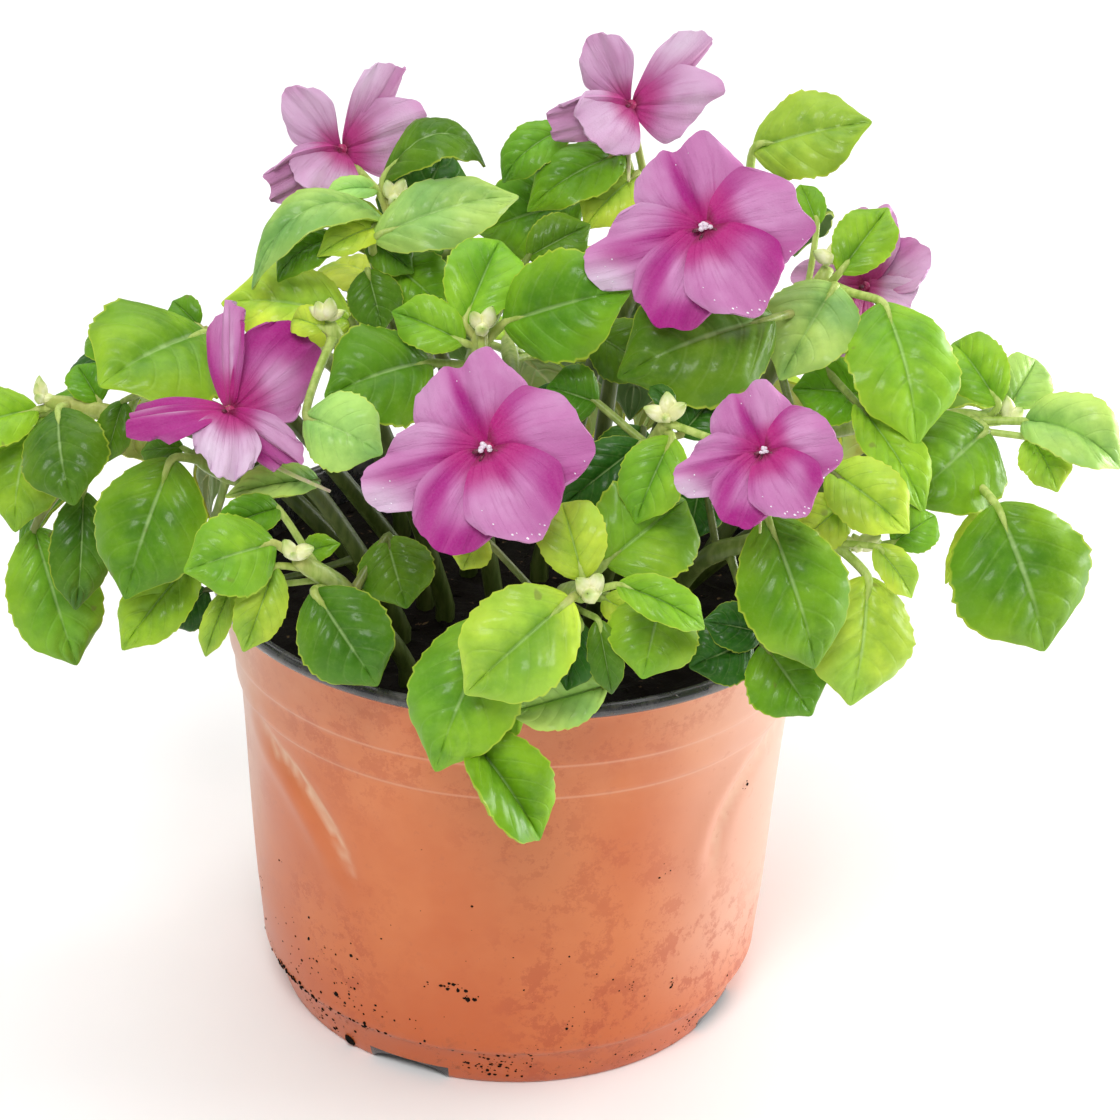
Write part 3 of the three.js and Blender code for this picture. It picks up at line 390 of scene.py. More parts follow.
def points_of(piece):
    """The points of a piece's mesh in millimetres, a row each."""
    flat = np.empty(len(piece.data.vertices) * 3)
    piece.data.vertices.foreach_get("co", flat)
    return flat.reshape(-1, 3) / MM


def set_points(piece, points):
    """Moves the points of a piece's mesh to new places in millimetres."""
    piece.data.vertices.foreach_set("co", (np.asarray(points) * MM).ravel())
    piece.data.update()


def note_points(piece, name, values):
    """Keeps one number for each point of the piece, for a finish to read."""
    piece.data.attributes.new(name, "FLOAT", "POINT").data.foreach_set("value", values)


def smooth_line(before, points, steps):
    """A smooth line through the points that starts in the direction from the point before them."""
    points = [np.array(p, float) for p in points]
    every = [np.array(before, float), *points, 2 * points[-1] - points[-2]]
    line = []
    for a, b, c, d in zip(every, every[1:], every[2:], every[3:]):
        for t in np.arange(steps) / steps:
            cubic = (2 * a - 5 * b + 4 * c - d) * t * t + (3 * b - a - 3 * c + d) * t**3
            line.append(0.5 * (2 * b + (c - a) * t + cubic))
    return np.array([*line, points[-1]])


where = points_of(pot)
radius = np.hypot(where[:, 0], where[:, 1])
angle = np.degrees(np.arctan2(where[:, 1], where[:, 0])) % 360
height = where[:, 2]
wall = np.clip((height - 12) / 12, 0, 1) * np.clip((88 - height) / 14, 0, 1) * (radius > 47)
push = OVAL * wall * np.sin(np.radians(2 * angle + 40))
push += WAVY * wall * np.sin(np.radians(7 * angle) + height / 9)
worn = np.zeros(len(where))
for line, depth, shows in CREASES:
    fine = smooth_line(line[0], line, 6)
    across = (angle[:, None] - fine[:, 0]) * math.pi / 180 * WALL_RADIUS
    apart = np.hypot(across, height[:, None] - fine[:, 1])
    nearest = apart.argmin(axis=1)
    side = np.sign(across[np.arange(len(angle)), nearest])
    apart = apart.min(axis=1)
    fades = np.sin(np.pi * (0.12 + 0.8 * nearest / len(fine)))
    push -= depth * wall * fades * np.exp(-((apart / DENT_WIDTH) ** 2))
    push += BULGE * depth * wall * fades * (side < 0) * np.exp(-((apart - BULGE_AWAY) ** 2) / BULGE_SPREAD)
    worn += shows * fades * wall * np.exp(-(((apart - RUB_AWAY * (side > 0)) / RUB_WIDTH) ** 2))
push = np.where(radius > 1, push, 0)
where[:, :2] *= (1 + push / np.maximum(radius, 1))[:, None]
set_points(pot, where)
note_points(pot, "worn", worn)
print("wall pushed by", round(push.min(), 2), "to", round(push.max(), 2), "mm")

# %% [markdown]
# ## Two layers of plastic
#
# The sheet is brown outside and black inside, and the lip rolls the black layer to the top. One piece with
# two materials shows that best: the faces of the lip, the inside and the cut edges take the black one. The
# brown is never one colour. It is mottled by damp stains, chalky towards the lip, rubbed pale along the
# creases, and spattered with soil, mostly low down where water splashes. Light is painted into it as well:
# a painted sheen makes the right side paler and milkier and lays a pale band down the left edge, and
# painted highlights run as thin pale lines along the edges of the two steps.

# %% Brown plastic
LEDGE_HEIGHT, STEP_HEIGHTS = 0.0094, (0.0768, 0.0692)
brown = Finish("brown_plastic", Coat_Roughness=0.34, Coat_Weight=0.25, Specular_IOR_Level=0.5)
to_the_right, to_the_back, up_the_pot = brown.parts(brown.place())
worn = brown.noted("worn", "number")
cloud = brown.spots(0.35, 0.68, 28.0, 4.0, 0.6)
gathered = brown.spots(0.42, 0.62, 24.0, 2.0)
stain = brown.spots(0.50, 0.57, 150.0, 8.0, 0.82) * gathered
fleck = brown.spots(0.62, 0.70, 420.0, 3.0, 0.7)
chalk = brown.rise(up_the_pot, 0.045, 0.09) * brown.spots(0.3, 0.75, 34.0, 5.0, 0.65)
low = brown.rise(up_the_pot, 0.045, 0.006)
in_front = brown.rise(to_the_back, 0.022, -0.002)
# painted sheen: the right side of the pot's front is painted paler and milkier, as a painted reflection
painted_right_sheen = brown.rise(to_the_right, 0.020, 0.056) * brown.rise(up_the_pot, 0.004, 0.03) * in_front
# painted sheen: a pale band painted along the left edge of the pot's front
painted_left_sheen = brown.rise(to_the_right, -0.046, -0.053) * brown.rise(up_the_pot, 0.02, 0.05) * in_front
mud = brown.spots(0.55, 0.64, 210.0, 7.0, 0.8) * brown.rise(up_the_pot, 0.017, 0.006)
grime = brown.spots(0.50, 0.62, 90.0, 5.0, 0.75)
ledge = brown.rise(abs(up_the_pot - LEDGE_HEIGHT), 0.0012, 0.0002) * grime
# painted highlights: thin pale lines painted along the edges of the two steps
upper_step_highlight, lower_step_highlight = (brown.rise(abs(up_the_pot - height), 0.0005, 0.0001) for height in STEP_HEIGHTS)
colour = brown.layers(
    brown.blend(cloud, (0.54, 0.120, 0.022), (0.62, 0.175, 0.046)),
    (chalk * 0.6, (0.70, 0.28, 0.125)),
    (low * 0.6, (0.52, 0.088, 0.010)),
    # painted sheen on the right side and along the left edge
    (painted_right_sheen * 0.72, (0.72, 0.47, 0.36)),
    (painted_left_sheen * 0.45, (0.66, 0.48, 0.38)),
    (stain * (0.35 + 0.35 * low), (0.40, 0.055, 0.008)),
    # painted highlights along the steps
    ((upper_step_highlight + lower_step_highlight) * 0.4, (0.74, 0.40, 0.25)),
    (worn * 0.75, (0.74, 0.56, 0.38)),
    (fleck * 0.20, (0.42, 0.10, 0.035)),
    (mud * 0.35 + ledge * 0.45, (0.10, 0.04, 0.02)),
)
brown_plastic = brown.finish(
    colour,
    roughness=brown.rise(cloud + 0.6 * stain, 0.0, 1.6, 0.36, 0.48) + 0.3 * mud,
    height=0.4 * brown.grain(90.0) + 0.08 * stain + 0.5 * mud,
    depth=0.0003,
    strength=0.35,
)

# %% Black plastic
black = Finish("black_plastic", Coat_Weight=0.6, Coat_Roughness=0.2)
dust = black.spots(0.45, 0.75, 180.0, 5.0, 0.7)
grit = black.spots(0.60, 0.66, 600.0, 3.0, 0.8)
colour = black.blend(dust, (0.020, 0.020, 0.022), (0.12, 0.108, 0.098))
colour = black.blend(grit * 0.7, colour, (0.06, 0.032, 0.018))
black_plastic = black.finish(colour, roughness=0.24 + 0.35 * dust, height=grit, depth=0.0002, strength=0.4)

# %% Finish the pot
LIP_FOOT, LIP_INNER_RADIUS = 88.35, 55
INNER_FROM, INNER_RADIUS, FLOOR_BELOW, FLOOR_RADIUS = 1.2, 41, 12, 48
CUT_FROM, CUT_TOP, CUT_INNER_RADIUS, CUT_OUTER_RADIUS, CUT_HALF_ANGLE = 0.05, 3.2, 40, 47.5, 10.5
QUARTER = 360 / NOTCHES


def shows_black(face):
    """Whether a face of the pot is of the black layer: the lip, the inside, or the edge of a notch."""
    x, y, z = face.center / MM
    out = math.hypot(x, y)
    outward = (x * face.normal.x + y * face.normal.y) / max(out, 1)
    if z > LIP_FOOT and out > LIP_INNER_RADIUS:
        return True
    if z > INNER_FROM and outward < -0.2 and out > INNER_RADIUS:
        return True
    if face.normal.z > 0.4 and z < FLOOR_BELOW and out < FLOOR_RADIUS:
        return True
    from_notch = (math.degrees(math.atan2(y, x)) - NOTCH_START + QUARTER / 2) % QUARTER - QUARTER / 2
    in_notch = abs(from_notch) < CUT_HALF_ANGLE and CUT_FROM < z < CUT_TOP and face.normal.z < -0.2
    return in_notch and CUT_INNER_RADIUS < out < CUT_OUTER_RADIUS


pot.data.materials.append(brown_plastic)
pot.data.materials.append(black_plastic)
for face in pot.data.polygons:
    face.material_index = 1 if shows_black(face) else 0
choose(pot)
bpy.ops.object.shade_smooth_by_angle(angle=math.radians(50))


def stands_for(piece, node, slot):
    """The piece takes the place of a solid and rides with it."""
    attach(piece, "root")
    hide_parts(node)


stands_for(pot, "pot", "pot_plastic")
print("pot faces in black:", sum(face.material_index for face in pot.data.polygons))

# %% [markdown]
# ## Potting soil
#
# Peat soil settles into a dark, crumbly cushion just under the lip. A cylinder's flat lid has no points to
# move, so the lid is inset ring by ring until it is a fine net, and the net is lifted by two sizes of noise.
# Loose crumbs are one rough ball with twenty faces, copied some three hundred times by a seeded draw.

# %% Lumpy soil
SOIL_TOP, SOIL_RADIUS, SOIL_DEPTH, SOIL_TAPER = 84, 55.6, 13, 0.965
BLOCK_SIDES, BLOCK_DEPTH, BLOCK_MIDDLE = 112, 14, 76
RINGS, RING_WIDTH = 26, 2.0
choose()
size = {"radius": SOIL_RADIUS * MM, "depth": BLOCK_DEPTH * MM}
bpy.ops.mesh.primitive_cylinder_add(vertices=BLOCK_SIDES, location=(0, 0, BLOCK_MIDDLE * MM), **size)
soil = bpy.context.object
soil.name = "potting_soil"
bpy.ops.object.transform_apply(location=True)
bpy.ops.object.mode_set(mode="EDIT")
bpy.ops.mesh.select_all(action="DESELECT")
bpy.ops.object.mode_set(mode="OBJECT")
for face in soil.data.polygons:
    face.select = face.normal.z > 0.9
bpy.ops.object.mode_set(mode="EDIT")
for _ in range(RINGS):
    bpy.ops.mesh.inset(thickness=RING_WIDTH * MM)
bpy.ops.mesh.poke()
bpy.ops.object.mode_set(mode="OBJECT")
print("soil:", len(soil.data.polygons), "faces")

# %% Lift the soil
EDGE_FALL, EDGE_WIDTH = 1.6, 7  # the soil lies lower and smoother against the wall
LUMP_SIZE, LUMP_LIFT, GRIT_SIZE, GRIT_LIFT = 9, 1.1, 1.7, 0.45


def lump(x, y):
    """How the soil swells and sinks from place to place, from about -1 to 1."""
    return noise.fractal(Vector((x, y, 3)) / LUMP_SIZE, 0.8, 2.0, 4)


earth = points_of(soil)
for point in earth:
    x, y, z = point
    if z > BLOCK_MIDDLE:
        edge = min(1, max(0, (SOIL_RADIUS - math.hypot(x, y)) / EDGE_WIDTH))
        grit_lift = GRIT_LIFT * noise.noise(Vector((x, y, 9)) / GRIT_SIZE)
        point[2] = SOIL_TOP - EDGE_FALL * (1 - edge) + edge * (LUMP_LIFT * lump(x, y) + grit_lift)
    else:
        point[:2] *= SOIL_TAPER
        point[2] = SOIL_TOP - SOIL_DEPTH
set_points(soil, earth)
surface = earth[earth[:, 2] > BLOCK_MIDDLE][:, 2]
print("soil surface from", round(surface.min(), 1), "to", round(surface.max(), 1), "mm")


# %% Crumbs
MULTIPLIER, MODULUS = 16807, 2147483647
CRUMBS, CRUMB_SEED, CRUMB_REACH = 340, 523, 53


def draws(seed):
    """A seeded draw between 0 and 1, the same on every run."""
    state = seed
    while True:
        state = state * MULTIPLIER % MODULUS
        yield state / MODULUS


def copy_of(blank, name):
    """A copy of the blank with a mesh of its own."""
    piece = blank.copy()
    piece.data = blank.data.copy()
    piece.name = name
    bpy.context.scene.collection.objects.link(piece)
    return piece


def joined(pieces, name):
    """Joins the pieces into the first of them."""
    choose(*pieces)
    if len(pieces) > 1:
        bpy.ops.object.join()
    pieces[0].name = name
    pieces[0].data.name = name
    return pieces[0]


choose()
bpy.ops.mesh.primitive_ico_sphere_add(subdivisions=1, radius=MM)
crumb_blank = bpy.context.object
draw = draws(CRUMB_SEED)
rough_ball = points_of(crumb_blank)
rough_ball *= np.array([[0.75 + 0.5 * next(draw)] for _ in rough_ball])
crumbs_on_soil = []
for _ in range(CRUMBS):
    out, turn = CRUMB_REACH * math.sqrt(next(draw)), 2 * math.pi * next(draw)
    size = 0.35 + next(draw) ** 3
    x, y = out * math.cos(turn), out * math.sin(turn)
    tilt = np.array(Matrix.Rotation(6.3 * next(draw), 3, Vector((next(draw), next(draw), 0.3))))
    crumb = copy_of(crumb_blank, "crumb")
    lift = SOIL_TOP - 0.2 + 0.9 * lump(x, y)
    set_points(crumb, rough_ball @ tilt * [1, 0.8 + 0.5 * next(draw), 0.7] * size + [x, y, lift])
    crumbs_on_soil.append(crumb)
soil = joined([soil, *crumbs_on_soil], "potting_soil")
print("soil with crumbs:", len(soil.data.polygons), "faces")

# %% Peat
peat = Finish("peat", Specular_IOR_Level=0.12)
fibre = peat.grain(900.0, 4.0, 0.7)
wet = peat.spots(0.35, 0.7, 120.0)
colour = peat.blend(fibre, (0.002, 0.0015, 0.001), (0.010, 0.0065, 0.0045))
colour = peat.blend(peat.spots(0.66, 0.72, 500.0, 2.0), colour, (0.09, 0.055, 0.03))
lumps = fibre + 0.7 * peat.grain(300.0)
peat_finish = peat.finish(colour, roughness=1.0 - 0.25 * wet, height=lumps, depth=0.0008)
soil.data.materials.append(peat_finish)
stands_for(soil, "soil", "potting_soil")
print("soil done")

# %% [markdown]
# ## Soil splashed on the wall
#
# Every watering throws crumbs of peat against the low wall, where they dry on. They lie thickest on the ledge
# and thin out upwards, in loose clusters. Speckles in the shader all came out as round dots of one kind, so
# these are the same rough crumbs as on the soil, pressed flat against the wall wherever it really is.

# %% Splashes
SPLASHES = [  # angle and height of a cluster, its reach round and up, how many crumbs, and their size
    (211, 10.2, 8, 0.9, 50, 0.42), (226, 9.0, 9, 1.2, 30, 0.40), (233, 9.8, 14, 0.6, 16, 0.30),
    (220, 5.5, 9, 3, 26, 0.34), (231, 18, 9, 6, 40, 0.27), (216, 19, 8, 7, 26, 0.23),
    (235.3, 25.6, 1.2, 0.5, 3, 0.48), (229.4, 14.7, 1, 0.6, 3, 0.42), (250, 14, 14, 6, 14, 0.22),
    (257.5, 24.6, 4.5, 0.9, 18, 0.34), (261.8, 22.6, 1.8, 0.7, 8, 0.40), (268, 7, 7, 2.2, 26, 0.26),
    (266, 4.8, 5.5, 1.8, 30, 0.30), (274, 7, 5, 2.6, 12, 0.26), (284.5, 15.5, 1.6, 1.7, 6, 0.30),
    (297.5, 22.8, 1.6, 1.0, 9, 0.24), (309.5, 19.6, 0.7, 1.5, 8, 0.42), (311, 13.3, 1, 0.6, 3, 0.26),
    (320, 4.5, 5, 2.8, 20, 0.27), (332, 17.3, 1, 0.6, 2, 0.28), (262.4, 44, 0.5, 0.4, 2, 0.36),
    (211, 37.5, 1, 0.8, 2, 0.26), (197, 25.7, 2, 2, 5, 0.24), (328.5, 59.4, 2.4, 1.8, 5, 0.24),
    (304, 48, 1.2, 2.4, 4, 0.24), (250, 35, 28, 14, 14, 0.16), (290, 21, 14, 9, 20, 0.17),
    (300, 3, 30, 1.6, 30, 0.21), (90, 12, 90, 7, 110, 0.30), (90, 9.6, 80, 0.8, 60, 0.34),
]
BIG_CRUMB = (228.6, 1.4, 1.5)  # its angle, height and size
SQUASH, SPREAD = 0.45, 1.2
WALL_OUTSIDE = OUTSIDE[12:]  # from the outer edge of the ring that the pot stands on


def on_wall(turn, up):
    """The place on the pot's wall at an angle and a height, and the way the wall faces there."""
    turn = math.radians(turn)
    radii, heights = zip(*WALL_OUTSIDE)
    out = np.interp(up, heights, radii) + 0.3
    guess = Vector((out * math.cos(turn), out * math.sin(turn), up)) * MM
    _, spot, facing_out, _ = pot.closest_point_on_mesh(guess)
    return np.array(spot) / MM, Vector(facing_out)


def stuck_crumb(turn, up, size):
    """A crumb pressed flat against the wall."""
    spot, facing_out = on_wall(turn, up)
    crumb = copy_of(crumb_blank, "splash")
    spin = np.array(Matrix.Rotation(6.3 * next(draw), 3, "Z"))
    flat = rough_ball @ spin * [1, 0.55 + 0.6 * next(draw), SQUASH] * size
    set_points(crumb, flat @ np.array(facing_out.to_track_quat("Z", "Y").to_matrix()).T + spot)
    return crumb


def bell():
    """A seeded draw that clusters round 0."""
    return next(draw) + next(draw) + next(draw) - 1.5


splashes = []
for turn, up, round_reach, up_reach, count, size in SPLASHES:
    for _ in range(count):
        place_up = abs(up + SPREAD * up_reach * bell())
        place_round = turn + SPREAD * round_reach * bell()
        splashes.append(stuck_crumb(place_round, place_up, size * (0.45 + 1.1 * next(draw) ** 2)))
splashes.append(stuck_crumb(*BIG_CRUMB))
for crumb in splashes:
    crumb.data.materials.append(peat_finish)
pot = joined([pot, *splashes], "nursery_pot")
print("crumbs on the wall:", len(splashes))

# %% [markdown]
# ## How a leaf is described
#
# Each leaf is a row of numbers: where its midrib starts and ends, its width, which way it faces, how much the
# midrib arches, and how far the two halves drop or rise from it. The plain solids use the same rows with a
# handful of points. Here the same surface is followed with hundreds, which leaves room for teeth, a grooved
# midrib, arching side veins and the quilting between them.

# %% Directions
UP = np.array([0.0, 0.0, 1.0])


def unit(vector):
    return vector / np.linalg.norm(vector, axis=-1, keepdims=True)


def facing(lean, turn):
    """The direction that something faces: degrees away from straight up, turned from -Y towards +X."""
    lean, turn = math.radians(lean), math.radians(turn)
    return np.array([math.sin(turn) * math.sin(lean), -math.cos(turn) * math.sin(lean), math.cos(lean)])


print("a leaf that leans 45 degrees to the front faces", facing(45, 0).round(2))

# %% Leaf outline
BASE_POWER, TIP_POWER = 0.65, 0.72
POINT_START, POINT_NARROWS = 0.72, 0.55
SIDE_VEINS, VEIN_SLANT, VEIN_ARCH, FIRST_VEIN = 6.5, 0.19, 0.12, 0.35
SCALLOP, TOOTH_POINT = 0.035, 0.03


def half_width(t):
    """Half the width of a blade as a share of its widest place, from 0 at its base to 1 at its tip."""
    widest = BASE_POWER / (BASE_POWER + TIP_POWER)
    whole = widest**BASE_POWER * (1 - widest) ** TIP_POWER
    t = np.clip(t, 0, 1)
    end = np.clip((t - POINT_START) / (1 - POINT_START), 0, 1)
    return t**BASE_POWER * (1 - t) ** TIP_POWER / whole * (1 - POINT_NARROWS * end * end * (3 - 2 * end))


def teeth(t, count):
    """Low scallops that lean towards the tip, each with a small point."""
    step = (t * count) % 1
    scallop = np.sin(math.pi * step**1.5) ** 0.8
    point = np.exp(-(((step - 0.8) / 0.12) ** 2))
    return 1 + SCALLOP * (scallop - 0.62) + TOOTH_POINT * point


def pillow(across, t):
    """0 along a side vein, rising to 1 on the cushion between two."""
    phase = (t - VEIN_SLANT * across - VEIN_ARCH * across**2) * SIDE_VEINS + FIRST_VEIN
    return np.abs(np.sin(math.pi * phase)) ** 0.7


print("widest at", round(BASE_POWER / (BASE_POWER + TIP_POWER), 2), "of the length")

# %% Lay a blade
EVEN_SHARE = 0.65  # how much of the rows' spacing is even; the rest crowds them towards base and tip
BELLY, GROOVE_DEPTH, GROOVE_WIDTH = 0.16, 0.35, 0.6
QUILT, RIPPLE, RIPPLES = 0.028, 0.05, 2.2
CURL_START, TWIST = 0.62, 0.7
MANY_TEETH, FEW_TEETH, YOUNG_WIDTH = 10, 6, 8


def blade_frame(row):
    """Where a blade starts, its length, the way along it and the way it faces."""
    base, tip = np.array(row[0:3], float), np.array(row[3:6], float)
    length = np.linalg.norm(tip - base)
    along = (tip - base) / length
    face = facing(row[7], row[8])
    return base, length, along, unit(face - along * face.dot(along))


def lay_blade(row, side, v, habit):
    """Points of a blade for places across it (-1 to 1) and along it (0 to 1).

    The habit is four seeded draws: where ripples start, how they slant, the tip's curl and the twist.
    """
    base, length, along, face = blade_frame(row)
    width, bow, fold = row[6], row[9], math.radians(row[10])
    sideways = np.cross(face, along)
    t = EVEN_SHARE * v + (1 - EVEN_SHARE) * (0.5 - 0.5 * np.cos(math.pi * v))
    across = np.abs(side)
    normal = unit(face * length - np.outer(bow * 4 * (1 - 2 * t), along))
    toothed = 1 + (teeth(t, MANY_TEETH if width > YOUNG_WIDTH else FEW_TEETH) - 1) * across**8
    half = width / 2 * half_width(t) * toothed
    rib = base + np.outer(t * length, along) + np.outer(bow * 4 * t * (1 - t), face)
    out = half * across
    lift = out * math.sin(fold) + BELLY * half * 4 * across * (1 - across)
    lift = lift - GROOVE_DEPTH * np.exp(-((out / GROOVE_WIDTH) ** 2)) * (1 - t) * min(1, width / 12)
    inside = np.clip(across * 5, 0, 1) * (1 - across**4) * np.clip(8 * t, 0, 1) * np.clip(5 * (1 - t), 0, 1)
    lift = lift + QUILT * length * inside * (pillow(across, t) - 0.5)
    ripple = np.sin(2 * math.pi * (RIPPLES * t + habit[0]) + side * (1 + 2 * habit[1]))
    lift = lift + RIPPLE * width * across**3 * ripple * np.sin(math.pi * t)
    curl = np.clip(t - CURL_START, 0, 1) ** 2 * length * (habit[2] - 0.2)
    twist = (habit[3] - 0.5) * TWIST * t * half * side
    points = rib + np.outer(np.sign(side) * out * math.cos(fold), sideways)
    return points + normal * (lift - curl + twist)[:, None]


trial_row = (0, 0, 0, 30, 0, 0, 20, 0, 0, 2, -8)
trial = lay_blade(trial_row, np.array([-1.0, 0, 1]), np.array([0.5, 0.5, 0.5]), [0.5] * 4)
print("half way along, a 20 mm leaf goes from", trial[0].round(1), "to", trial[2].round(1))

# %% [markdown]
# ## Leaf blanks
#
# Modelling a hundred leaves by hand would take days, and a hundred equal leaves would look printed. So one
# flat grid is made at its size, with a map that runs across and along it, and every leaf is a copy with its
# own mesh, laid onto its own surface. Small young leaves use a coarser grid.

# %% Flat blanks
def blank_grid(name, across, along, layer):
    """A flat square of faces, a metre wide, with a map that runs across and along it."""
    choose()
    bpy.ops.mesh.primitive_grid_add(x_subdivisions=across, y_subdivisions=along, size=1)
    blank = bpy.context.object
    blank.name = name
    blank.data.uv_layers.active.name = layer
    return blank


def on_blank(blank):
    """Where each point of a flat blank is across it, from -1 to 1, and along it, from 0 to 1."""
    flat = points_of(blank) * MM
    return -2 * flat[:, 0], flat[:, 1] + 0.5


broad_blank = blank_grid("broad_leaf_blank", 18, 56, "blade")
young_blank = blank_grid("young_leaf_blank", 12, 28, "blade")
print("blanks:", len(broad_blank.data.polygons), "and", len(young_blank.data.polygons), "faces")

# %% Leaf tones
TONES = {  # new growth is yellow-green, the deep green is painted shade for leaves that lie in the shade, and some are dull and pale
    "lime": (0.530, 0.710, 0.060),
    "fresh": (0.250, 0.485, 0.025),
    "green": (0.150, 0.345, 0.010),
    "mid": (0.090, 0.215, 0.009),
    # painted shade: the tone of leaves that lie in the shade
    "deep": (0.035, 0.140, 0.008),
    "pale": (0.400, 0.660, 0.155),
}


def tinted(piece, colours):
    """Gives every point of the piece a colour, one for all or one each, for the finish to start from."""
    tint = piece.data.attributes.new("tint", "FLOAT_COLOR", "POINT")
    every = np.ones((len(piece.data.vertices), 4), np.float32)
    every[:, :3] = colours
    tint.data.foreach_set("color", every.ravel())


def make_blade(row, tone, draw):
    """One leaf blade, a single sheet."""
    blank = broad_blank if row[6] >= YOUNG_WIDTH else young_blank
    blade = copy_of(blank, "blade")
    habit = [next(draw) for _ in range(4)]
    set_points(blade, lay_blade(row, *on_blank(blank), habit))
    light, warm = 0.85 + 0.28 * next(draw), 0.90 + 0.16 * next(draw)
    red, green, blue = TONES[tone]
    tinted(blade, (red * light * warm, green * light, blue * light))
    return blade


def thick(piece, thickness, cover):
    """Merges the points where a sheet closes, and gives it a thickness with another finish below."""
    choose(piece)
    bpy.ops.object.mode_set(mode="EDIT")
    bpy.ops.mesh.select_all(action="SELECT")
    bpy.ops.mesh.remove_doubles(threshold=0.005 * MM)
    bpy.ops.object.mode_set(mode="OBJECT")
    for material in cover:
        piece.data.materials.append(material)
    wall = piece.modifiers.new("thickness", "SOLIDIFY")
    wall.thickness = thickness * MM
    wall.offset = 0
    wall.material_offset = 1
    bpy.ops.object.modifier_apply(modifier=wall.name)
    bpy.ops.object.shade_smooth_by_angle(angle=math.radians(60))
    return piece


print("tones:", ", ".join(TONES))

# %% [markdown]
# ## The upper side of a leaf
#
# The upper side is a waxy green with a pale midrib, faint pale side veins that arch towards the tip, and a
# thin yellowish rim. The pattern has to follow the blade, so it reads the map that runs across and along it,
# while the mottling comes from the object's own space. Each leaf starts from its own tint.

# %% Leaf finish
def map_of(finish, layer):
    """How far a place is across and along the map that its blank was made with."""
    across, along, _ = finish.parts(finish.add("ShaderNodeUVMap", {"uv_map": layer}))
    return across, along


def leaf_map(finish):
    """How far a place is from the midrib, 0 to 1, and how far along the blade."""
    across, along = map_of(finish, "blade")
    return abs(across * 2 - 1), along


def vein_lines(finish, across, along):
    """Where the midrib is, and where a side vein is."""
    rib = finish.rise(across + 0.035 * along, 0.075, 0.025)
    phase = (along - across * VEIN_SLANT - across * across * VEIN_ARCH) * SIDE_VEINS + FIRST_VEIN
    line = finish.rise(abs(phase.fraction() - 0.5), 0.40, 0.5)
    return rib, line * finish.rise(across, 0.95, 0.55) * finish.rise(along, 0.97, 0.8)


leaf_top = Finish("leaf_top", Coat_Roughness=0.14, Coat_Weight=0.14, Specular_IOR_Level=0.16)
across, along = leaf_map(leaf_top)
rib, side_vein = vein_lines(leaf_top, across, along)
tint = leaf_top.noted("tint", "colour")
mottle = leaf_top.spots(0.32, 0.7, 110.0, 5.0, 0.6)
cloud = leaf_top.spots(0.36, 0.66, 48.0, 2.0)
speckle = leaf_top.spots(0.45, 0.75, 1300.0, 2.0, 0.6)
blemish = leaf_top.spots(0.74, 0.78, 210.0, 2.0, 0.4)
rim = leaf_top.rise(across + 0.03 * leaf_top.grain(500.0), 0.968, 1.0)
towards_edge = leaf_top.rise(across, 0.2, 0.95)
tint = leaf_top.blend(cloud, tint, leaf_top.times(tint, (0.58, 0.76, 0.85)))
colour = leaf_top.layers(
    leaf_top.times(tint, (0.60, 0.68, 0.62)),
    (mottle, leaf_top.times(tint, (1.25, 1.12, 1.1))),
    (towards_edge * 0.35, leaf_top.times(tint, (1.5, 1.2, 0.9))),
    (speckle * 0.06, (0.40, 0.55, 0.16)),
    (side_vein * 0.06, (0.46, 0.66, 0.20)),
    (rib * leaf_top.rise(along, 0.85, 0.45) * 0.45, (0.52, 0.72, 0.30)),
    (rim * 0.40, (0.58, 0.64, 0.06)),
    (blemish * 0.5, (0.18, 0.16, 0.05)),
)
leaf_top_finish = leaf_top.finish(
    colour,
    roughness=leaf_top.rise(mottle + 0.5 * speckle, 0.0, 1.5, 0.40, 0.58),
    height=0.5 * leaf_top.grain(420.0) - 0.7 * side_vein - 0.8 * rib + 0.12 * speckle,
    depth=0.00025,
    strength=0.45,
)

# %% [markdown]
# The underside is duller and paler, and there the veins stand up instead of lying in grooves.

# %% Underside of a leaf
leaf_under = Finish("leaf_underside", Roughness=0.55)
across, along = leaf_map(leaf_under)
rib, side_vein = vein_lines(leaf_under, across, along)
tint = leaf_under.noted("tint", "colour")
mottle = leaf_under.spots(0.3, 0.7, 160.0, 4.0, 0.6)
colour = leaf_under.blend(0.42, tint, leaf_under.blend(mottle, (0.30, 0.46, 0.16), (0.40, 0.55, 0.24)))
colour = leaf_under.blend(side_vein * 0.35 + rib * 0.6, colour, (0.55, 0.66, 0.32))
veins = side_vein + rib + 0.3 * mottle
leaf_under_finish = leaf_under.finish(colour, height=veins, depth=0.0003, strength=0.5)

# %% [markdown]
# ## Stems and stalks
#
# The stems hold so much water that light passes into them: pale yellow-green, smooth, here and there pinker,
# and a little swollen where stalks come off. Deep inside the plant they are painted dark, a painted shade
# for the shadow there. A stem is a tube of changing width along a curve, so it is drawn as a curve with a
# round bevel and a radius at each point, then turned into a mesh.

# %% Stem finish
juicy = Finish("juicy_stem", Coat_Weight=0.06, Coat_Roughness=0.2, Specular_IOR_Level=0.25)
streak = juicy.add("ShaderNodeMapping", {}, {0: juicy.place(), "Scale": (1, 1, 0.15)})
fibre = juicy.rise(juicy.grain(700.0, 3.0, 0.6, vector=streak), 0.3, 0.7)
blush = juicy.spots(0.5, 0.72, 70.0)
paleness = juicy.noted("tint", "number")
in_shade = juicy.blend(fibre, (0.020, 0.034, 0.006), (0.048, 0.066, 0.012))
colour = juicy.blend(fibre, (0.30, 0.44, 0.07), (0.50, 0.62, 0.17))
colour = juicy.blend(blush * 0.35, colour, (0.55, 0.36, 0.16))
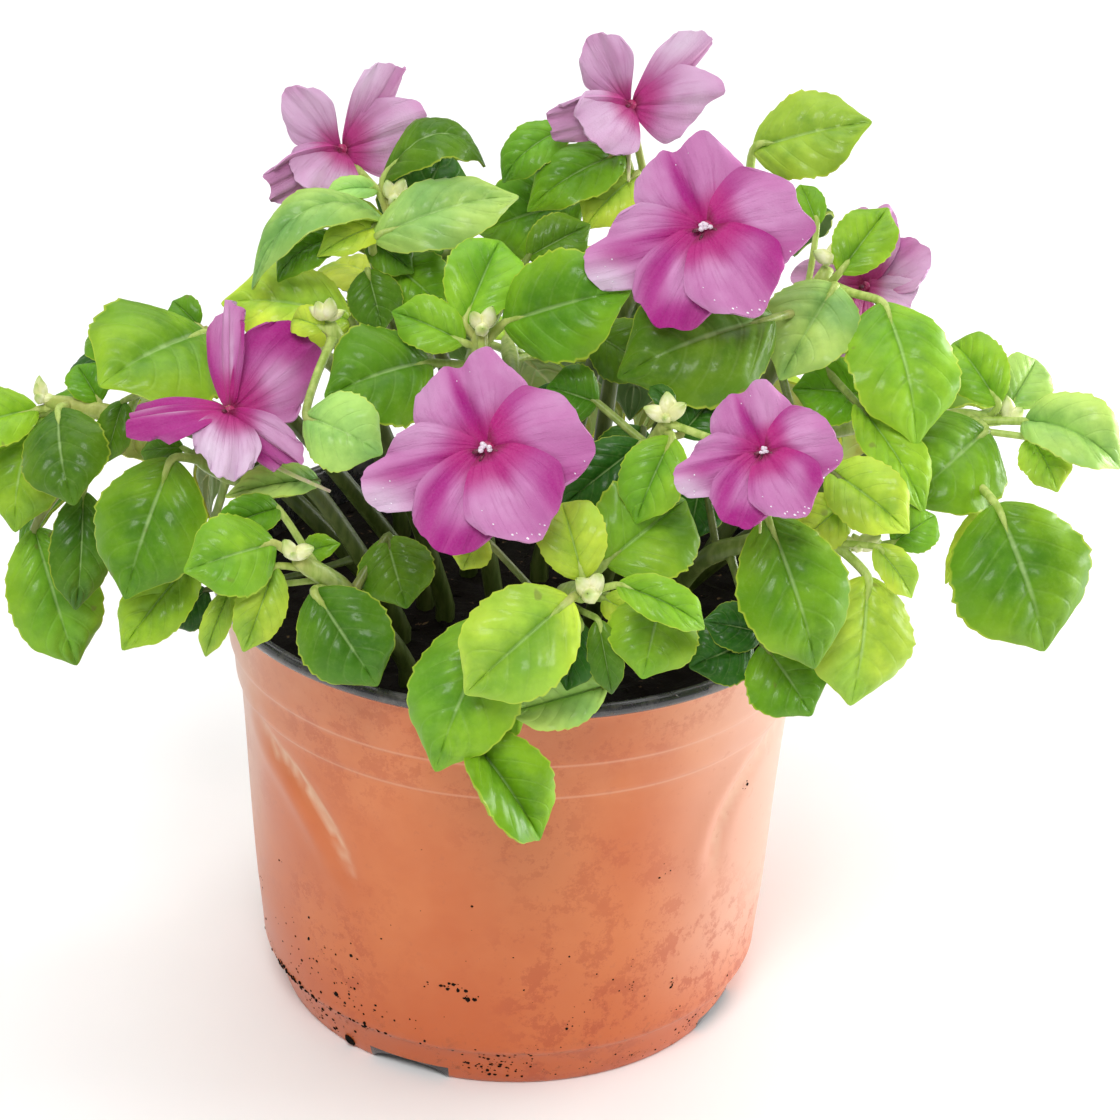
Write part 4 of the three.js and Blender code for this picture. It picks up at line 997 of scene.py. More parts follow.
# painted shade: stems deep in the plant, where the paleness is low, take the dark colour
colour = juicy.blend((1 - paleness) * 0.93, colour, in_shade)
stem_finish = juicy.finish(colour, roughness=0.3 + 0.15 * fibre, height=fibre, depth=0.0002, strength=0.3)

# %% Tubes along lines
def tubes(name, runs, bevel_steps=2):
    """A closed tube for each run of points and radii."""
    curve = bpy.data.curves.new(name, "CURVE")
    curve.dimensions = "3D"
    curve.bevel_depth = MM
    curve.bevel_resolution = bevel_steps
    curve.use_fill_caps = True
    for points, radii in runs:
        spline = curve.splines.new("POLY")
        spline.points.add(len(points) - 1)
        spline.points.foreach_set("co", np.c_[np.asarray(points) * MM, np.ones(len(points))].ravel())
        spline.points.foreach_set("radius", np.asarray(radii, float))
    piece = bpy.data.objects.new(name, curve)
    bpy.context.scene.collection.objects.link(piece)
    choose(piece)
    bpy.ops.object.convert(target="MESH")
    piece = bpy.context.object
    bpy.ops.object.mode_set(mode="EDIT")
    bpy.ops.mesh.select_all(action="SELECT")
    bpy.ops.mesh.remove_doubles(threshold=0.002 * MM)
    bpy.ops.mesh.normals_make_consistent(inside=False)
    bpy.ops.object.mode_set(mode="OBJECT")
    bpy.ops.object.shade_smooth()
    return piece


print("tubes ready")

# %% Stem lines
STEM_FOOT, STEM_LEAVES_SOIL = 72, 87
STEM_RADIUS, STEM_TIP_RADIUS = 1.9, 1.2
NODE_STEP, FREE_TIP = 0.7, 2.5
STALK_SAG, STALK_BEND, SHORT_STALK, UNDER_BLADE = 0.06, 0.05, 14, 0.22
STALK_PLACES, STALK_TAPER, STALK_END = (0, 0.12, 0.6, 0.82, 1), (1.5, 1.05, 1, 0.75), 0.12


def stem_line(root, path, steps):
    """Upright out of the soil, then smoothly through the points of its path."""
    foot = np.array([*root, STEM_FOOT], float)
    return np.vstack([foot, smooth_line(foot, [(*root, STEM_LEAVES_SOIL), *path], steps)])


def stalk_places(line):
    """Places along a stem, every 0.7 mm, where a leaf stalk may come off."""
    places = []
    for a, b in zip(line[1:], line[2:]):
        steps = math.ceil(np.linalg.norm(b - a) / NODE_STEP)
        places += [a + (b - a) * step / steps for step in range(steps)]
    return [p for p in places if np.linalg.norm(p - line[-1]) > FREE_TIP]


def stalk_starts(line, rows):
    """Every leaf takes the nearest free place, and keeps the next ones clear of it."""
    places, starts = stalk_places(line), []
    for row in rows:
        start = min(places, key=lambda p: np.linalg.norm(p - np.array(row[:3], float)))
        places = [p for p in places if np.linalg.norm(p - start) > 2 * NODE_STEP]
        starts.append(start)
    return starts


def stalk_run(start, row):
    """A leaf stalk: from inside the stem to the base of the blade, and on under its midrib."""
    base, length, along, face = blade_frame(row)
    width, bow = row[6], row[9]
    reach = np.linalg.norm(base - start)
    middle = (start + base) / 2 - UP * STALK_SAG * reach - along * STALK_BEND * reach
    points = [start, base] if reach < SHORT_STALK else [start, middle, base]
    arch = bow * 4 * UNDER_BLADE * (1 - UNDER_BLADE)
    under = base + along * UNDER_BLADE * length + face * (arch - 0.25)
    line = smooth_line(2 * start - points[1], [*points, under], 6)
    stout = 0.45 + 0.4 * min(1, width / 16)
    radii = [*(stout * share for share in STALK_TAPER), STALK_END]
    return line, np.interp(np.linspace(0, 1, len(line)), STALK_PLACES, radii)


print("a stem from the middle:", stem_line((0, 0), [(5, 0, 120)], 2).round(1).tolist())

# %% Stems with their nodes
NODE_SWELL, NODE_SPREAD, STOUTEST = 0.3, 1.8, 0.5
SHEET_THICKNESS, SEED_SPREAD = 0.55, 104729
PLANT_MIDDLE, PLANT_REACH = np.array([0, 0, 95]), np.array([105, 85, 85])


def stem_run(line, starts):
    """The stem thins towards its tip and swells where a stalk comes off."""
    radii = np.linspace(STEM_RADIUS, STEM_TIP_RADIUS, len(line))
    for start in starts:
        radii += NODE_SWELL * np.exp(-((np.linalg.norm(line - start, axis=1) / NODE_SPREAD) ** 2))
    return line, np.minimum(radii, STEM_RADIUS + STOUTEST)


def stem_paleness(places, tip):
    """Stems are pale towards their tip and on the outside of the plant, and painted dark deep within it, as
    painted shade.
    """
    to_tip = np.linalg.norm(places - tip, axis=1)
    outside = np.linalg.norm((places - PLANT_MIDDLE) / PLANT_REACH, axis=1)
    paleness = np.clip((38 - to_tip) / 30, 0, 1) * np.clip((outside - 0.55) / 0.3, 0.1, 1)
    return np.maximum(paleness, np.clip((outside - 0.85) / 0.12, 0, 1))


def grow_shoot(name, root, path, rows, tones, flower_runs, seed):
    """A whole shoot as one piece: blades with their thickness, and the tubes that carry them."""
    draw = draws(seed * SEED_SPREAD % MODULUS)
    blades = [make_blade(row, tone, draw) for row, tone in zip(rows, tones)]
    shoot = thick(joined(blades, name), SHEET_THICKNESS, (leaf_top_finish, leaf_under_finish))
    starts = stalk_starts(stem_line(root, path, 2), rows)
    line = stem_line(root, path, 10)
    runs = [stem_run(line, starts), *(stalk_run(start, row) for start, row in zip(starts, rows))]
    stalks = tubes(name + "_stalks", runs + flower_runs)
    stalks.data.materials.append(stem_finish)
    tinted(stalks, stem_paleness(points_of(stalks), line[-1])[:, None])
    return joined([shoot, stalks], name)


print("ready to grow")

# %% [markdown]
# ## The shoots
#
# A shoot has a root in the soil, a path for its stem, and a row for each leaf. The last word of a row is the
# leaf's tone. These are the same rows that the plain solids follow.

# %% Shoots that face the front
SHOOTS = {  # root, path, and a row for each leaf: base, tip, width, lean, turn, bow, fold and tone
    "far_left": ((-26, -10), [(-53, -16, 120), (-76, -10, 124), (-90, -6, 125)], [
        (-80, -8, 126, -85, -2, 131, 8, 45, 0, 1, 8, "green"),
        (-71, 0, 136, -84, 4, 133, 12, 45, 0, 2, 8, "green"),
        (-92, -6, 123, -110, -10, 115, 14, 40, 0, 4, 8, "fresh"),
        (-87, -12, 126, -83, -28, 114, 17, 60, -15, 2, -12, "mid"),
        (-92, -4, 121, -96, -14, 101, 16, 62, -20, 3, -10, "fresh"),
        (-83, -12, 109, -84, -20, 87, 12, 62, 15, 2, -10, "mid"),
        (-93.5, -6, 98, -85, -14, 71.5, 18, 62, 5, 2, -8, "fresh"),
    ]),
    "left_top": ((-18, -6), [(-41, -26, 130), (-60, -10, 142)], [
        (-59, -16, 144, -76, -36, 142, 28, 48, -10, 2, -8, "fresh"),
        (-61, -10, 143, -66, -6, 146, 6, 50, 0, 1, 8, "green"),
        (-75, -12, 128, -78, -16, 117, 7, 60, 0, 1, 0, "mid"),
    ]),
    "left_low": ((-22, -22), [(-40, -34, 124), (-51, -36, 124), (-60, -34, 128)], [
        (-63, -38, 128.5, -71, -48, 105, 21, 62, -10, 2, -10, "green"),
        (-62, -30, 127, -70, -28, 125, 6, 50, 0, 1, 0, "mid"),
        (-60, -32, 106, -73, -42, 91, 12, 60, 0, 2, 0, "fresh"),
        (-59, -22, 94, -66, -24, 87, 9, 60, 0, 1, 0, "deep"),
        (-37, -36, 124, -53, -44, 124, 8, 45, 0, 2, 30, "pale"),
    ]),
    "front_left": ((-20, -38), [(-30, -52, 109), (-39, -60, 120)], [
        (-43, -60, 123, -58, -68, 121, 15, 57, 0, 2, -8, "fresh"),
        (-43, -61, 119, -48, -67, 105, 9, 60, 15, 1, 8, "lime"),
        (-43, -52, 126, -54, -58, 123.5, 8, 50, 10, 2, 20, "green"),
        (-51, -56, 112, -55.5, -60, 100, 5, 55, 0, 2, 10, "lime"),
        (-39, -49, 115, -32, -52, 119.5, 5, 45, 0, 1, 8, "green"),
        (-24, -46, 118, -20, -52, 107, 14, 60, 0, 1, -8, "mid"),
        (-36, -60, 114, -24, -68, 99, 17, 60, 0, 2, -8, "mid"),
    ]),
    "top_left": ((-10, 8), [(-24, -8, 142), (-25, -8, 167)], [
        (-27, -6, 171, -7, -2, 174, 12, 22, 0, 9, -10, "mid"),
        (-28, -8, 170, -38, -10, 169, 5, 45, 0, 2, 8, "pale"),
        (-26, -12, 165, -51, -28, 158, 11, 28, -25, 11, -5, "pale"),
        (-26, -6, 161, -41, 0, 162, 7, 35, 0, 3, 8, "lime"),
        (-34, -16, 163, -46, -22, 157, 8, 45, -20, 4, 0, "green"),
        (-27, -16, 166, -38, -24, 163, 7, 50, 0, 2, 8, "lime"),
        (-28, -20, 165, -2, -14, 172, 15, 38, 0, 3, -8, "pale"),
        (-24, 16, 150, -16, 26, 167, 18, 60, 0, 2, 0, "deep"),
        (-15, -2, 156, -24, -10, 146, 15, 62, 0, 1, 0, "fresh"),
        (-25, -14, 158, -15, -18, 151, 13, 55, 0, 2, -6, "green"),
        (-29, -15, 163, -21, -18, 158, 8, 50, 0, 1, 0, "mid"),
        (-29, -20, 159, -26, -24, 149, 10, 58, 0, 1, -6, "mid"),
    ]),
    "centre": ((-4, -16), [(-10, -26, 133), (-8, -38, 155)], [
        (-11, -36, 156, -5, -22, 167, 14, 60, 0, 2, 10, "fresh"),
        (-11, -38, 153, -24, -34, 157, 10, 48, 0, 1, 8, "fresh"),
        (-4, -36, 156, 18, -40, 165, 20, 55, 0, 2, -5, "green"),
        (0, -16, 161, 11, -12, 166, 10, 60, 0, 1, 0, "mid"),
        (-17, -36, 148, -35, -48, 146, 20, 50, 0, 3, -8, "green"),
        (2, -20, 136, 10, -24, 131, 10, 60, 0, 2, -6, "deep"),
    ]),
    "right_mid": ((14, -18), [(21, -40, 128), (25, -52, 145)], [
        (13, -40, 143, 4, -38, 145, 11, 60, 0, 1, 0, "green"),
        (26, -54, 143, 20, -60, 129, 12, 60, -15, 1, 8, "fresh"),
        (21, -46, 138, 7, -50, 127, 11, 60, 0, 1, 0, "deep"),
        (28, -46, 140, 34, -40, 145, 10, 60, 0, 1, 0, "deep"),
        (26, -51, 147, 22, -48, 150, 4, 45, 0, 1, 8, "deep"),
        (22, -24, 131, 15, -30, 122, 11, 60, 0, 1, 0, "deep"),
    ]),
    "front": ((6, -36), [(8, -58, 113), (12, -72, 121)], [
        (15, -62, 122, 29, -50, 129, 20, 58, 0, 2, 8, "fresh"),
        (11, -72, 124, 7, -62, 134, 12, 60, 0, 3, 8, "lime"),
        (9, -76, 122, -9, -84, 107, 19, 60, -5, 2, 6, "lime"),
        (17, -76, 125, 33, -80, 119, 8, 48, 0, 3, 12, "fresh"),
        (15, -64, 116, 23, -68, 113, 7, 48, 0, 1, 8, "lime"),
        (25, -66, 118, 22, -76, 107, 16, 58, 0, 1, -6, "fresh"),
        (11, -68, 113, 9, -72, 102, 9, 60, -10, 1, 0, "deep"),
        (14, -70, 115, 17, -74, 102, 6, 60, 0, 1, 0, "mid"),
        (16, -68, 101, -2, -74, 98, 12, 60, -10, -1, 20, "pale"),
        (-3, -66, 113, -14, -80, 89, 20, 60, -12, 3, -6, "fresh"),
        (1, -70, 98, -8, -74, 91, 8, 60, 0, 1, 0, "fresh"),
        (-8, -75, 94, 5, -78, 75, 18, 63, 25, 2, 35, "green"),
        (-7, -58, 125, -10, -62, 120, 7, 60, 0, 1, 0, "lime"),
    ]),
    "right_low": ((26, -24), [(33, -40, 112), (47, -46, 120), (59, -50, 121)], [
        (44, -54, 105, 33, -56, 108, 9, 50, 0, 1, 0, "deep"),
        (33, -30, 126, 31, -34, 113, 11, 60, 0, 1, 0, "deep"),
        (42, -54, 103, 31, -60, 101, 12, 55, 0, 1, 0, "deep"),
        (43, -62, 132, 53, -72, 107, 20, 62, 10, 2, -8, "green"),
        (44, -58, 105, 53, -64, 94, 16, 60, 10, 1, -6, "green"),
        (62, -54, 117, 60, -62, 95, 20, 62, 15, 2, -8, "lime"),
        (63, -54, 123, 70, -58, 115, 7, 55, 20, 1, 8, "lime"),
        (67, -46, 120, 75, -42, 124, 9, 50, 20, 1, 0, "fresh"),
        (58, -47, 128, 49, -52, 122, 10, 58, 0, 1, 0, "lime"),
    ]),
    "far_right": ((32, -2), [(62, -12, 118), (78, -10, 128), (90, -8, 128)], [
        (86, -18, 130, 70, -38, 124, 22, 55, 0, 3, -8, "green"),
        (89, -10, 132, 81, 4, 139, 12, 58, 0, 2, 8, "fresh"),
        (92, -4, 129, 98, 6, 135, 11, 50, 20, 1, 8, "pale"),
        (94, -12, 129.5, 112, -21, 124.5, 15, 48, 10, 5, 20, "pale"),
        (95, -14, 127, 100, -22, 120, 10, 58, 15, 1, 0, "lime"),
        (86, -38, 124.5, 96.5, -50, 100.5, 28, 62, 10, 2, -10, "green"),
        (88, -12, 112, 81, -18, 98, 5, 60, 0, 1, 0, "lime"),
    ]),
    "right_top": ((18, 0), [(44, -10, 133), (55, -12, 159)], [
        (44, -32, 157, 16, -44, 150, 24, 50, 0, 4, -8, "mid"),
        (55, -44, 133, 69, -54, 126, 13, 55, 0, 2, 8, "lime"),
        (60, -32, 141, 73, -44, 125, 11, 55, 20, 2, 8, "fresh"),
        (64.5, -22, 156.5, 71, -40, 136.5, 21, 58, 15, 3, -6, "fresh"),
        (56, -18, 158, 46, -32, 145, 17, 58, -10, 2, 6, "pale"),
        (57, -14, 159, 66, -4, 168, 11, 58, 0, 1, 8, "fresh"),
        (53, -6, 165, 50, 2, 170, 6, 60, 0, 1, 0, "green"),
        (63, -24, 139, 49, -24, 140, 13, 50, 0, 1, 0, "green"),
    ]),
    "left_mid": ((-14, -12), [(-25, -24, 127), (-35, -36, 155)], [
        (-32, -18, 148, -56, -18, 151, 17, 42, 0, 4, -8, "lime"),
        (-38, -52, 144, -24, -58, 140, 14, 55, 0, 3, -8, "pale"),
        (-36, -36, 154, -42, -32, 154, 6, 50, 0, 1, 8, "lime"),
    ]),
    "upper_right": ((12, 10), [(38, 16, 134), (42, 20, 161)], [
        (42, 16, 171.5, 63.5, 12, 179, 17.5, 50, 0, 2, -6, "lime"),
        (46, 24, 158, 54, 44, 141, 18, 40, 160, 3, 0, "deep"),
        (41, 26, 155, 32, 48, 141, 18, 40, 200, 3, 0, "deep"),
    ]),
    "top": ((4, 6), [(16, 2, 146), (21, 6, 170)], [
        (7, 4, 179, -6, -2, 170, 9, 50, -20, 3, 0, "fresh"),
        (17, 2, 175, -1, -8, 167, 12, 50, -10, 3, 0, "green"),
        (20, 2, 171, 10, -6, 163, 11, 52, -10, 2, 0, "lime"),
        (10, 12, 162, -10, 14, 154, 17, 60, 0, 2, 0, "green"),
        (12, -12, 145, 24, -14, 138, 12, 60, 0, 2, -6, "mid"),
    ]),
}
print("shoots:", len(SHOOTS), "with", sum(len(rows) for _, _, rows in SHOOTS.values()), "leaves")

# %% [markdown]
# ## Shoots at the back
#
# Nobody has drawn the back of the plant leaf by leaf, so it grows by a rule: a root, a tip, and leaves that
# come off round the tip with a seeded length, stalk and droop.

# %% Shoots at the back
BACK_SHOOTS = {  # root, tip and seed
    "back_left_low": ((-34, 12), (-76, 24, 116), 99),
    "back_left": ((-24, 26), (-46, 54, 114), 186),
    "back_middle": ((0, 34), (-4, 66, 110), 60),
    "back_right": ((22, 28), (40, 56, 116), 178),
    "back_right_low": ((38, 14), (72, 32, 110), 101),
    "back_top_left": ((-8, 20), (-24, 32, 134), 124),
    "back_top_right": ((14, 22), (22, 36, 140), 137),
}
BACK_TONES = ("green", "deep", "lime", "green")  # a leaf for each
LEAF_TURN, LEAF_STEP, SEED_STEP = 97, 1.5, 7919
ARCH_SHARE, ARCH_LIFT = 0.62, 38
BLADE_REACH, BLADE_LEAN, BLADE_BOW, BLADE_FOLD = 0.86, 38, 3, -8


def back_path(root, tip):
    """A stem that rises first and then leans out to its tip."""
    return [((root[0] + tip[0]) / 2, (root[1] + tip[1]) / 2, tip[2] * ARCH_SHARE + ARCH_LIFT), tip]


def back_leaves(tip, seed):
    """A row for each leaf of a shoot at the back, each turned on from the one before it."""
    draw = draws(seed * SEED_STEP)
    end = np.array(tip, float)
    out = unit(np.array([end[0], end[1], 0]))
    side = np.array([-out[1], out[0], 0])
    start, rows = next(draw) * 360, []
    for i in range(len(BACK_TONES)):
        angle = math.radians(start + i * LEAF_TURN)
        outward, upward = 0.55 + 0.45 * math.sin(angle), 0.25 * math.sin(angle)
        away = unit(side * math.cos(angle) + out * outward + UP * upward)
        length, stalk, droop = 24 + 8 * next(draw), 4 + 3 * next(draw), 0.25 + 0.45 * next(draw)
        base = end + away * stalk - UP * LEAF_STEP * i
        blade_tip = base + away * length * BLADE_REACH - UP * length * droop
        width = length * (0.56 + 0.1 * next(draw))
        middle = (base + blade_tip) / 2
        turn = math.degrees(math.atan2(middle[0], -middle[1]))
        rows.append((*base, *blade_tip, width, BLADE_LEAN, turn, BLADE_BOW, BLADE_FOLD))
    return rows


growing = {}
for name, (root, path, rows) in SHOOTS.items():
    growing[name] = (root, path, [row[:11] for row in rows], [row[11] for row in rows])
for name, (root, tip, seed) in BACK_SHOOTS.items():
    growing[name] = (root, back_path(root, tip), back_leaves(tip, seed), BACK_TONES)
print("growing:", len(growing), "shoots")

# %% [markdown]
# ## How a flower is described
#
# A flower has a centre, a size, a way it faces and five petals, each with its own direction, length, width,
# rise, roll and bow. Each petal lies on the one before it. The flowers that are seen from the front are flat
# and open, the ones at the top are seen edge on, and one is ruffled.

# %% Flower tables
OPEN = [  # direction, length, width, rise, roll, bow, how narrow its claw is, how deep its end is notched
    (112, 19.5, 21, 1, 0, 0.5, 0.9, 0.20), (196, 23, 15, 4, 0, 0.5, 1.1, 0.03),
    (-112, 20, 17, 7, 0, 0.5, 0.8, 0.02), (12, 20.5, 20, 10, 0, 0.5, 0.8, 0.04),
    (-56, 20, 19, 13, 0, 0.5, 0.8, 0.02),
]
SIDEWAYS = [
    (136, 15, 12, 8, 30, 1, 1.9, 0.0), (59, 19.5, 11, 2, -50, 1, 1.2, 0.05),
    (21, 17, 15, -12, -20, 1, 1.1, 0.08),
    (240, 13, 15, 25, 15, 1, 1.0, 0.02), (213, 17, 10, 5, 40, 1, 1.0, 0.05),
]
RUFFLED = [
    (92, 21, 11, -5, 50, 1, 1.0, 0.06), (45, 21, 18, -12, -10, 2, 1.2, 0.10),
    (188, 20, 12, 10, -50, 2, 1.0, 0.08), (268, 14, 13, 25, 10, 2, 1.0, 0.0),
    (-38, 17, 11, 0, -40, 1, 1.0, 0.06),
]
HALF_SEEN = [
    (38, 14, 14, -5, 20, 1, 0.9, 0.04), (84, 17, 12, -10, 10, 1, 0.9, 0.03),
    (-8, 10, 12, 0, 30, 1, 0.9, 0.02),
    (261, 22, 11, 5, 45, 1, 1.0, 0.05), (180, 14, 12, -10, 0, 1, 0.9, 0.04),
]
BLOOMS = {  # centre, size, lean, turn, spin, petals, the shoot that carries it, and the place on its stem
    "front": ((-6, -68, 146), 1, 60, -2, 0, OPEN, "centre", 1),
    "top_right": ((31, -36, 175), 1, 60, -2, 0, OPEN, "upper_right", 1),
    "right": ((41, -70, 148), 0.72, 60, -2, 0, OPEN, "right_mid", 1),
    "left": ((-52, -44, 141), 1, 60, 0, 0, RUFFLED, "left_low", 0.62),
    "top_left": ((-35, 2, 174), 1, 60, 0, 0, SIDEWAYS, "top_left", 1),
    "top": ((18, 0, 185), 1, 60, 0, -15, SIDEWAYS, "top", 1),
    "far_right": ((63.5, 2, 150), 1, 60, 0, 0, HALF_SEEN, "right_top", 0.55),
}
EDGE_DROP, LAYER = 0.5, 0.8
EDGES = {  # how far each petal, known by its direction, reaches at eleven even places from side to side
    112: (0.80, 0.80, 0.97, 0.99, 1.00, 0.98, 0.93, 0.81, 0.76, 0.76, 0.87),
    196: (0.83, 0.76, 0.72, 0.74, 0.96, 1.05, 1.03, 1.05, 1.06, 1.08, 1.10),
    -112: (1.10, 1.04, 0.99, 0.99, 1.01, 0.97, 0.92, 0.90, 0.91, 0.90, 0.95),
    12: (0.91, 0.90, 0.94, 0.96, 0.93, 0.85, 0.80, 0.79, 0.78, 0.78, 0.80),
    -56: (0.82, 0.80, 0.81, 0.85, 0.90, 0.95, 0.93, 0.90, 0.87, 0.86, 0.88),
    92: (0.95, 0.87, 0.94, 0.98, 1.02, 1.07, 1.07, 1.05, 0.94, 0.90, 0.95),
    45: (0.75, 0.76, 0.80, 0.92, 0.98, 0.99, 1.01, 1.03, 1.06, 1.09, 1.10),
    188: (1.05, 0.90, 0.86, 0.88, 0.93, 0.98, 0.99, 1.04, 1.08, 0.85, 0.78),
    268: (0.80, 0.78, 0.80, 0.89, 0.92, 0.95, 0.94, 0.95, 0.96, 1.02, 1.08),
    -38: (0.98, 0.87, 0.79, 0.78, 0.85, 1.02, 1.01, 1.03, 0.97, 0.88, 0.78),
    136: (1.06, 1.04, 1.05, 1.04, 1.00, 0.99, 0.99, 0.93, 0.87, 0.90, 1.00),
    59: (1.10, 1.06, 1.03, 0.97, 0.98, 1.02, 1.00, 0.98, 1.01, 1.02, 1.03),
    21: (0.75, 0.75, 0.76, 0.80, 0.85, 0.94, 1.02, 1.01, 1.04, 1.06, 1.08),
    240: (1.00, 0.96, 0.92, 0.95, 1.00, 0.97, 0.93, 0.82, 0.76, 0.75, 0.76),
    213: (1.02, 0.90, 0.97, 0.94, 0.96, 1.02, 1.02, 0.99, 0.99, 1.02, 1.02),
}
MARKS = {  # patches on a petal: place across and along, half width and half length, how deep, how white
    112: [(0.15, 0.55, 0.10, 0.40, 1.2, 0), (0.60, 0.80, 0.50, 0.30, -0.6, 0),
          (-0.45, 0.70, 0.40, 0.40, -0.6, 0.1)],
    196: [(0.15, 0.74, 0.25, 0.22, 1.0, 0), (0.70, 0.96, 0.50, 0.24, -0.8, 1.2),
          (-0.50, 0.70, 0.35, 0.30, -0.4, 0.1),
          (-0.15, 0.40, 0.10, 0.30, 0.5, 0)],
    -112: [(0.0, 0.50, 0.50, 0.28, -0.7, 0), (-0.55, 0.60, 0.28, 0.20, 1.0, 0),
           (0.20, 0.95, 0.80, 0.24, 1.3, 0)],
    12: [(0.30, 0.70, 0.60, 0.35, -0.8, 0.05), (-0.75, 0.60, 0.22, 0.50, 0.8, 0),
         (0.95, 0.75, 0.20, 0.30, 0.5, 0)],
    -56: [(-0.30, 0.60, 0.50, 0.35, -0.9, 0.1), (0.75, 0.85, 0.35, 0.30, 1.1, 0),
          (-0.20, 1.00, 0.50, 0.08, 0, 0.25)],
    92: [(0.10, 0.70, 0.45, 0.45, -0.8, 0.3), (0.95, 0.60, 0.25, 0.60, 1.0, 0),
         (-0.95, 0.90, 0.25, 0.30, 1.0, 0),
         (-0.35, 0.45, 0.06, 0.35, 0, 0.6)],
    45: [(0.50, 0.85, 0.90, 0.26, 1.3, 0), (-0.20, 0.50, 0.60, 0.25, -0.6, 0.15)],
    188: [(0.0, 0.70, 1.50, 0.80, 1.1, 0), (0.20, 0.55, 0.10, 0.30, -0.7, 0.6),
          (-0.30, 0.80, 0.12, 0.20, -0.5, 0.4)],
    268: [(0.0, 0.80, 1.50, 0.50, -1.0, 1.1), (0.0, 0.15, 1.00, 0.32, 1.6, 0)],
    -38: [(-0.60, 0.45, 0.70, 0.50, 1.3, 0), (0.50, 0.60, 0.50, 0.40, -0.6, 0.3),
          (0.10, 0.55, 0.08, 0.20, 0, 0.6)],
    136: [(0.0, 0.80, 1.20, 0.50, -0.6, 0.35)],
    59: [(-0.20, 0.50, 0.60, 0.35, 0.7, 0), (0.55, 0.90, 0.50, 0.30, -0.4, 0.8)],
    21: [(0.0, 0.75, 0.80, 0.40, -0.6, 0.35), (-0.80, 0.40, 0.30, 0.40, 0.6, 0)],
    240: [(0.0, 0.65, 1.20, 0.60, -0.6, 0.45)],
    213: [(0.0, 0.80, 1.00, 0.40, 0.3, 0.1)],
    -8: [(0.0, 0.70, 1.00, 0.50, -0.5, 0.5)],
    38: [(0.40, 0.80, 0.60, 0.30, 0.8, 0), (-0.40, 0.70, 0.40, 0.30, -0.5, 0.2)],
}
print("flowers:", ", ".join(BLOOMS))

# %% Lay a petal
END_ROUND, END_POWER, MIDDLE_WIDTH, UNEVEN = 0.3, 2.4, 0.28, 0.05
CLAW_END, NARROWS_FROM, NARROWS = 0.12, 0.72, 0.16
WAVE, WAVES, CUP, BOW = 0.9, 5.1, 1.6, 2.4
RUFFLE, FRILL, RUFFLED_MORE = 0.34, 0.16, 2.2
PLEAT, FOLD_DEPTH, FOLD_WIDTH = 0.08, 0.35, 0.10


def bloom_frame(centre, lean, turn):
    """The middle of a flower, the way it faces, and what is right and high on it."""
    axis = facing(lean, turn)
    across = unit(np.cross(UP, axis))
    return np.array(centre, float), axis, across, np.cross(axis, across)


def petal_reach(row, angle, c, habit):
    """How far a petal reaches at places across it, as a share of its length."""
    direction, notch = row[0], row[7]
    middle = notch * np.exp(-((c / MIDDLE_WIDTH) ** 2))
    reach = 1 - END_ROUND * np.abs(c) ** END_POWER - middle + UNEVEN * np.sin(3.3 * c + 3 * angle)
    reach = reach + 0.015 * np.sin(8 * c + 6 * habit[0]) + 0.005 * np.sin(17 * c + 6 * habit[1])
    if direction in EDGES:
        reach = reach * np.interp(c, np.linspace(-1, 1, len(EDGES[direction])), EDGES[direction])
    return reach


def petal_height(row, angle, size, c, r, habit):
    """How far the petal's folds lift it: its wave, cup, ruffle, crease, pleats and bow."""
    _, _, width, _, roll, bow, _, notch = row
    wave = WAVE * np.sin(WAVES * c + 2 * angle) * r**2 * (width * size / 16)
    cup = math.radians(roll) * CUP * size * c * c * r
    much = size * (RUFFLED_MORE if row in RUFFLED else 1)
    ruffle = RUFFLE * much * np.sin(11 * c + 6 * habit[2]) * r**2
    frill = FRILL * much * np.sin(27 * c + 6 * habit[3]) * r**5
    fades = np.sin(math.pi * np.clip(r * 0.9, 0, 1))
    crease = (FOLD_DEPTH + 5 * notch) * size * np.exp(-((c / FOLD_WIDTH) ** 2)) * fades
    pleat = PLEAT * size * np.cos(23 * c) * np.sin(math.pi * r) ** 2
    height = BOW * bow * size * r * (1 - r) - EDGE_DROP * np.abs(c) * r
    return height + wave + cup + ruffle + frill - crease + pleat


def lay_petal(centre, frame, row, size, spin, c, r, habit):
    """Points of a petal for places across it (-1 to 1) and along it (0 to 1)."""
    _, axis, right_way, high_way = frame
    direction, length, width, rise, roll, _, claw, _ = row
    angle, rise, roll = math.radians(direction + spin), math.radians(rise), math.radians(roll)
    flat = right_way * math.cos(angle) + high_way * math.sin(angle)
    along = flat * math.cos(rise) + axis * math.sin(rise)
    upright = unit(axis - along * axis.dot(along))
    face = upright * math.cos(roll) + np.cross(upright, along) * math.sin(roll)
    across = np.cross(face, along)
    spread = np.sin(math.pi / 2 * np.minimum(1, CLAW_END * np.minimum(1, r / CLAW_END) + r)) ** claw
    past = np.clip(r - NARROWS_FROM, 0, 1) / (1 - NARROWS_FROM)
    narrowed = 1 - NARROWS * np.abs(c) ** 3 * past
    points = centre + np.outer(r * petal_reach(row, angle, c, habit) * length * size, along)
    points = points + np.outer(c * width * size * spread * narrowed / 2, across)
    return points + np.outer(petal_height(row, angle, size, c, r, habit), face)


print("petals to lay:", sum(len(bloom[5]) for bloom in BLOOMS.values()))


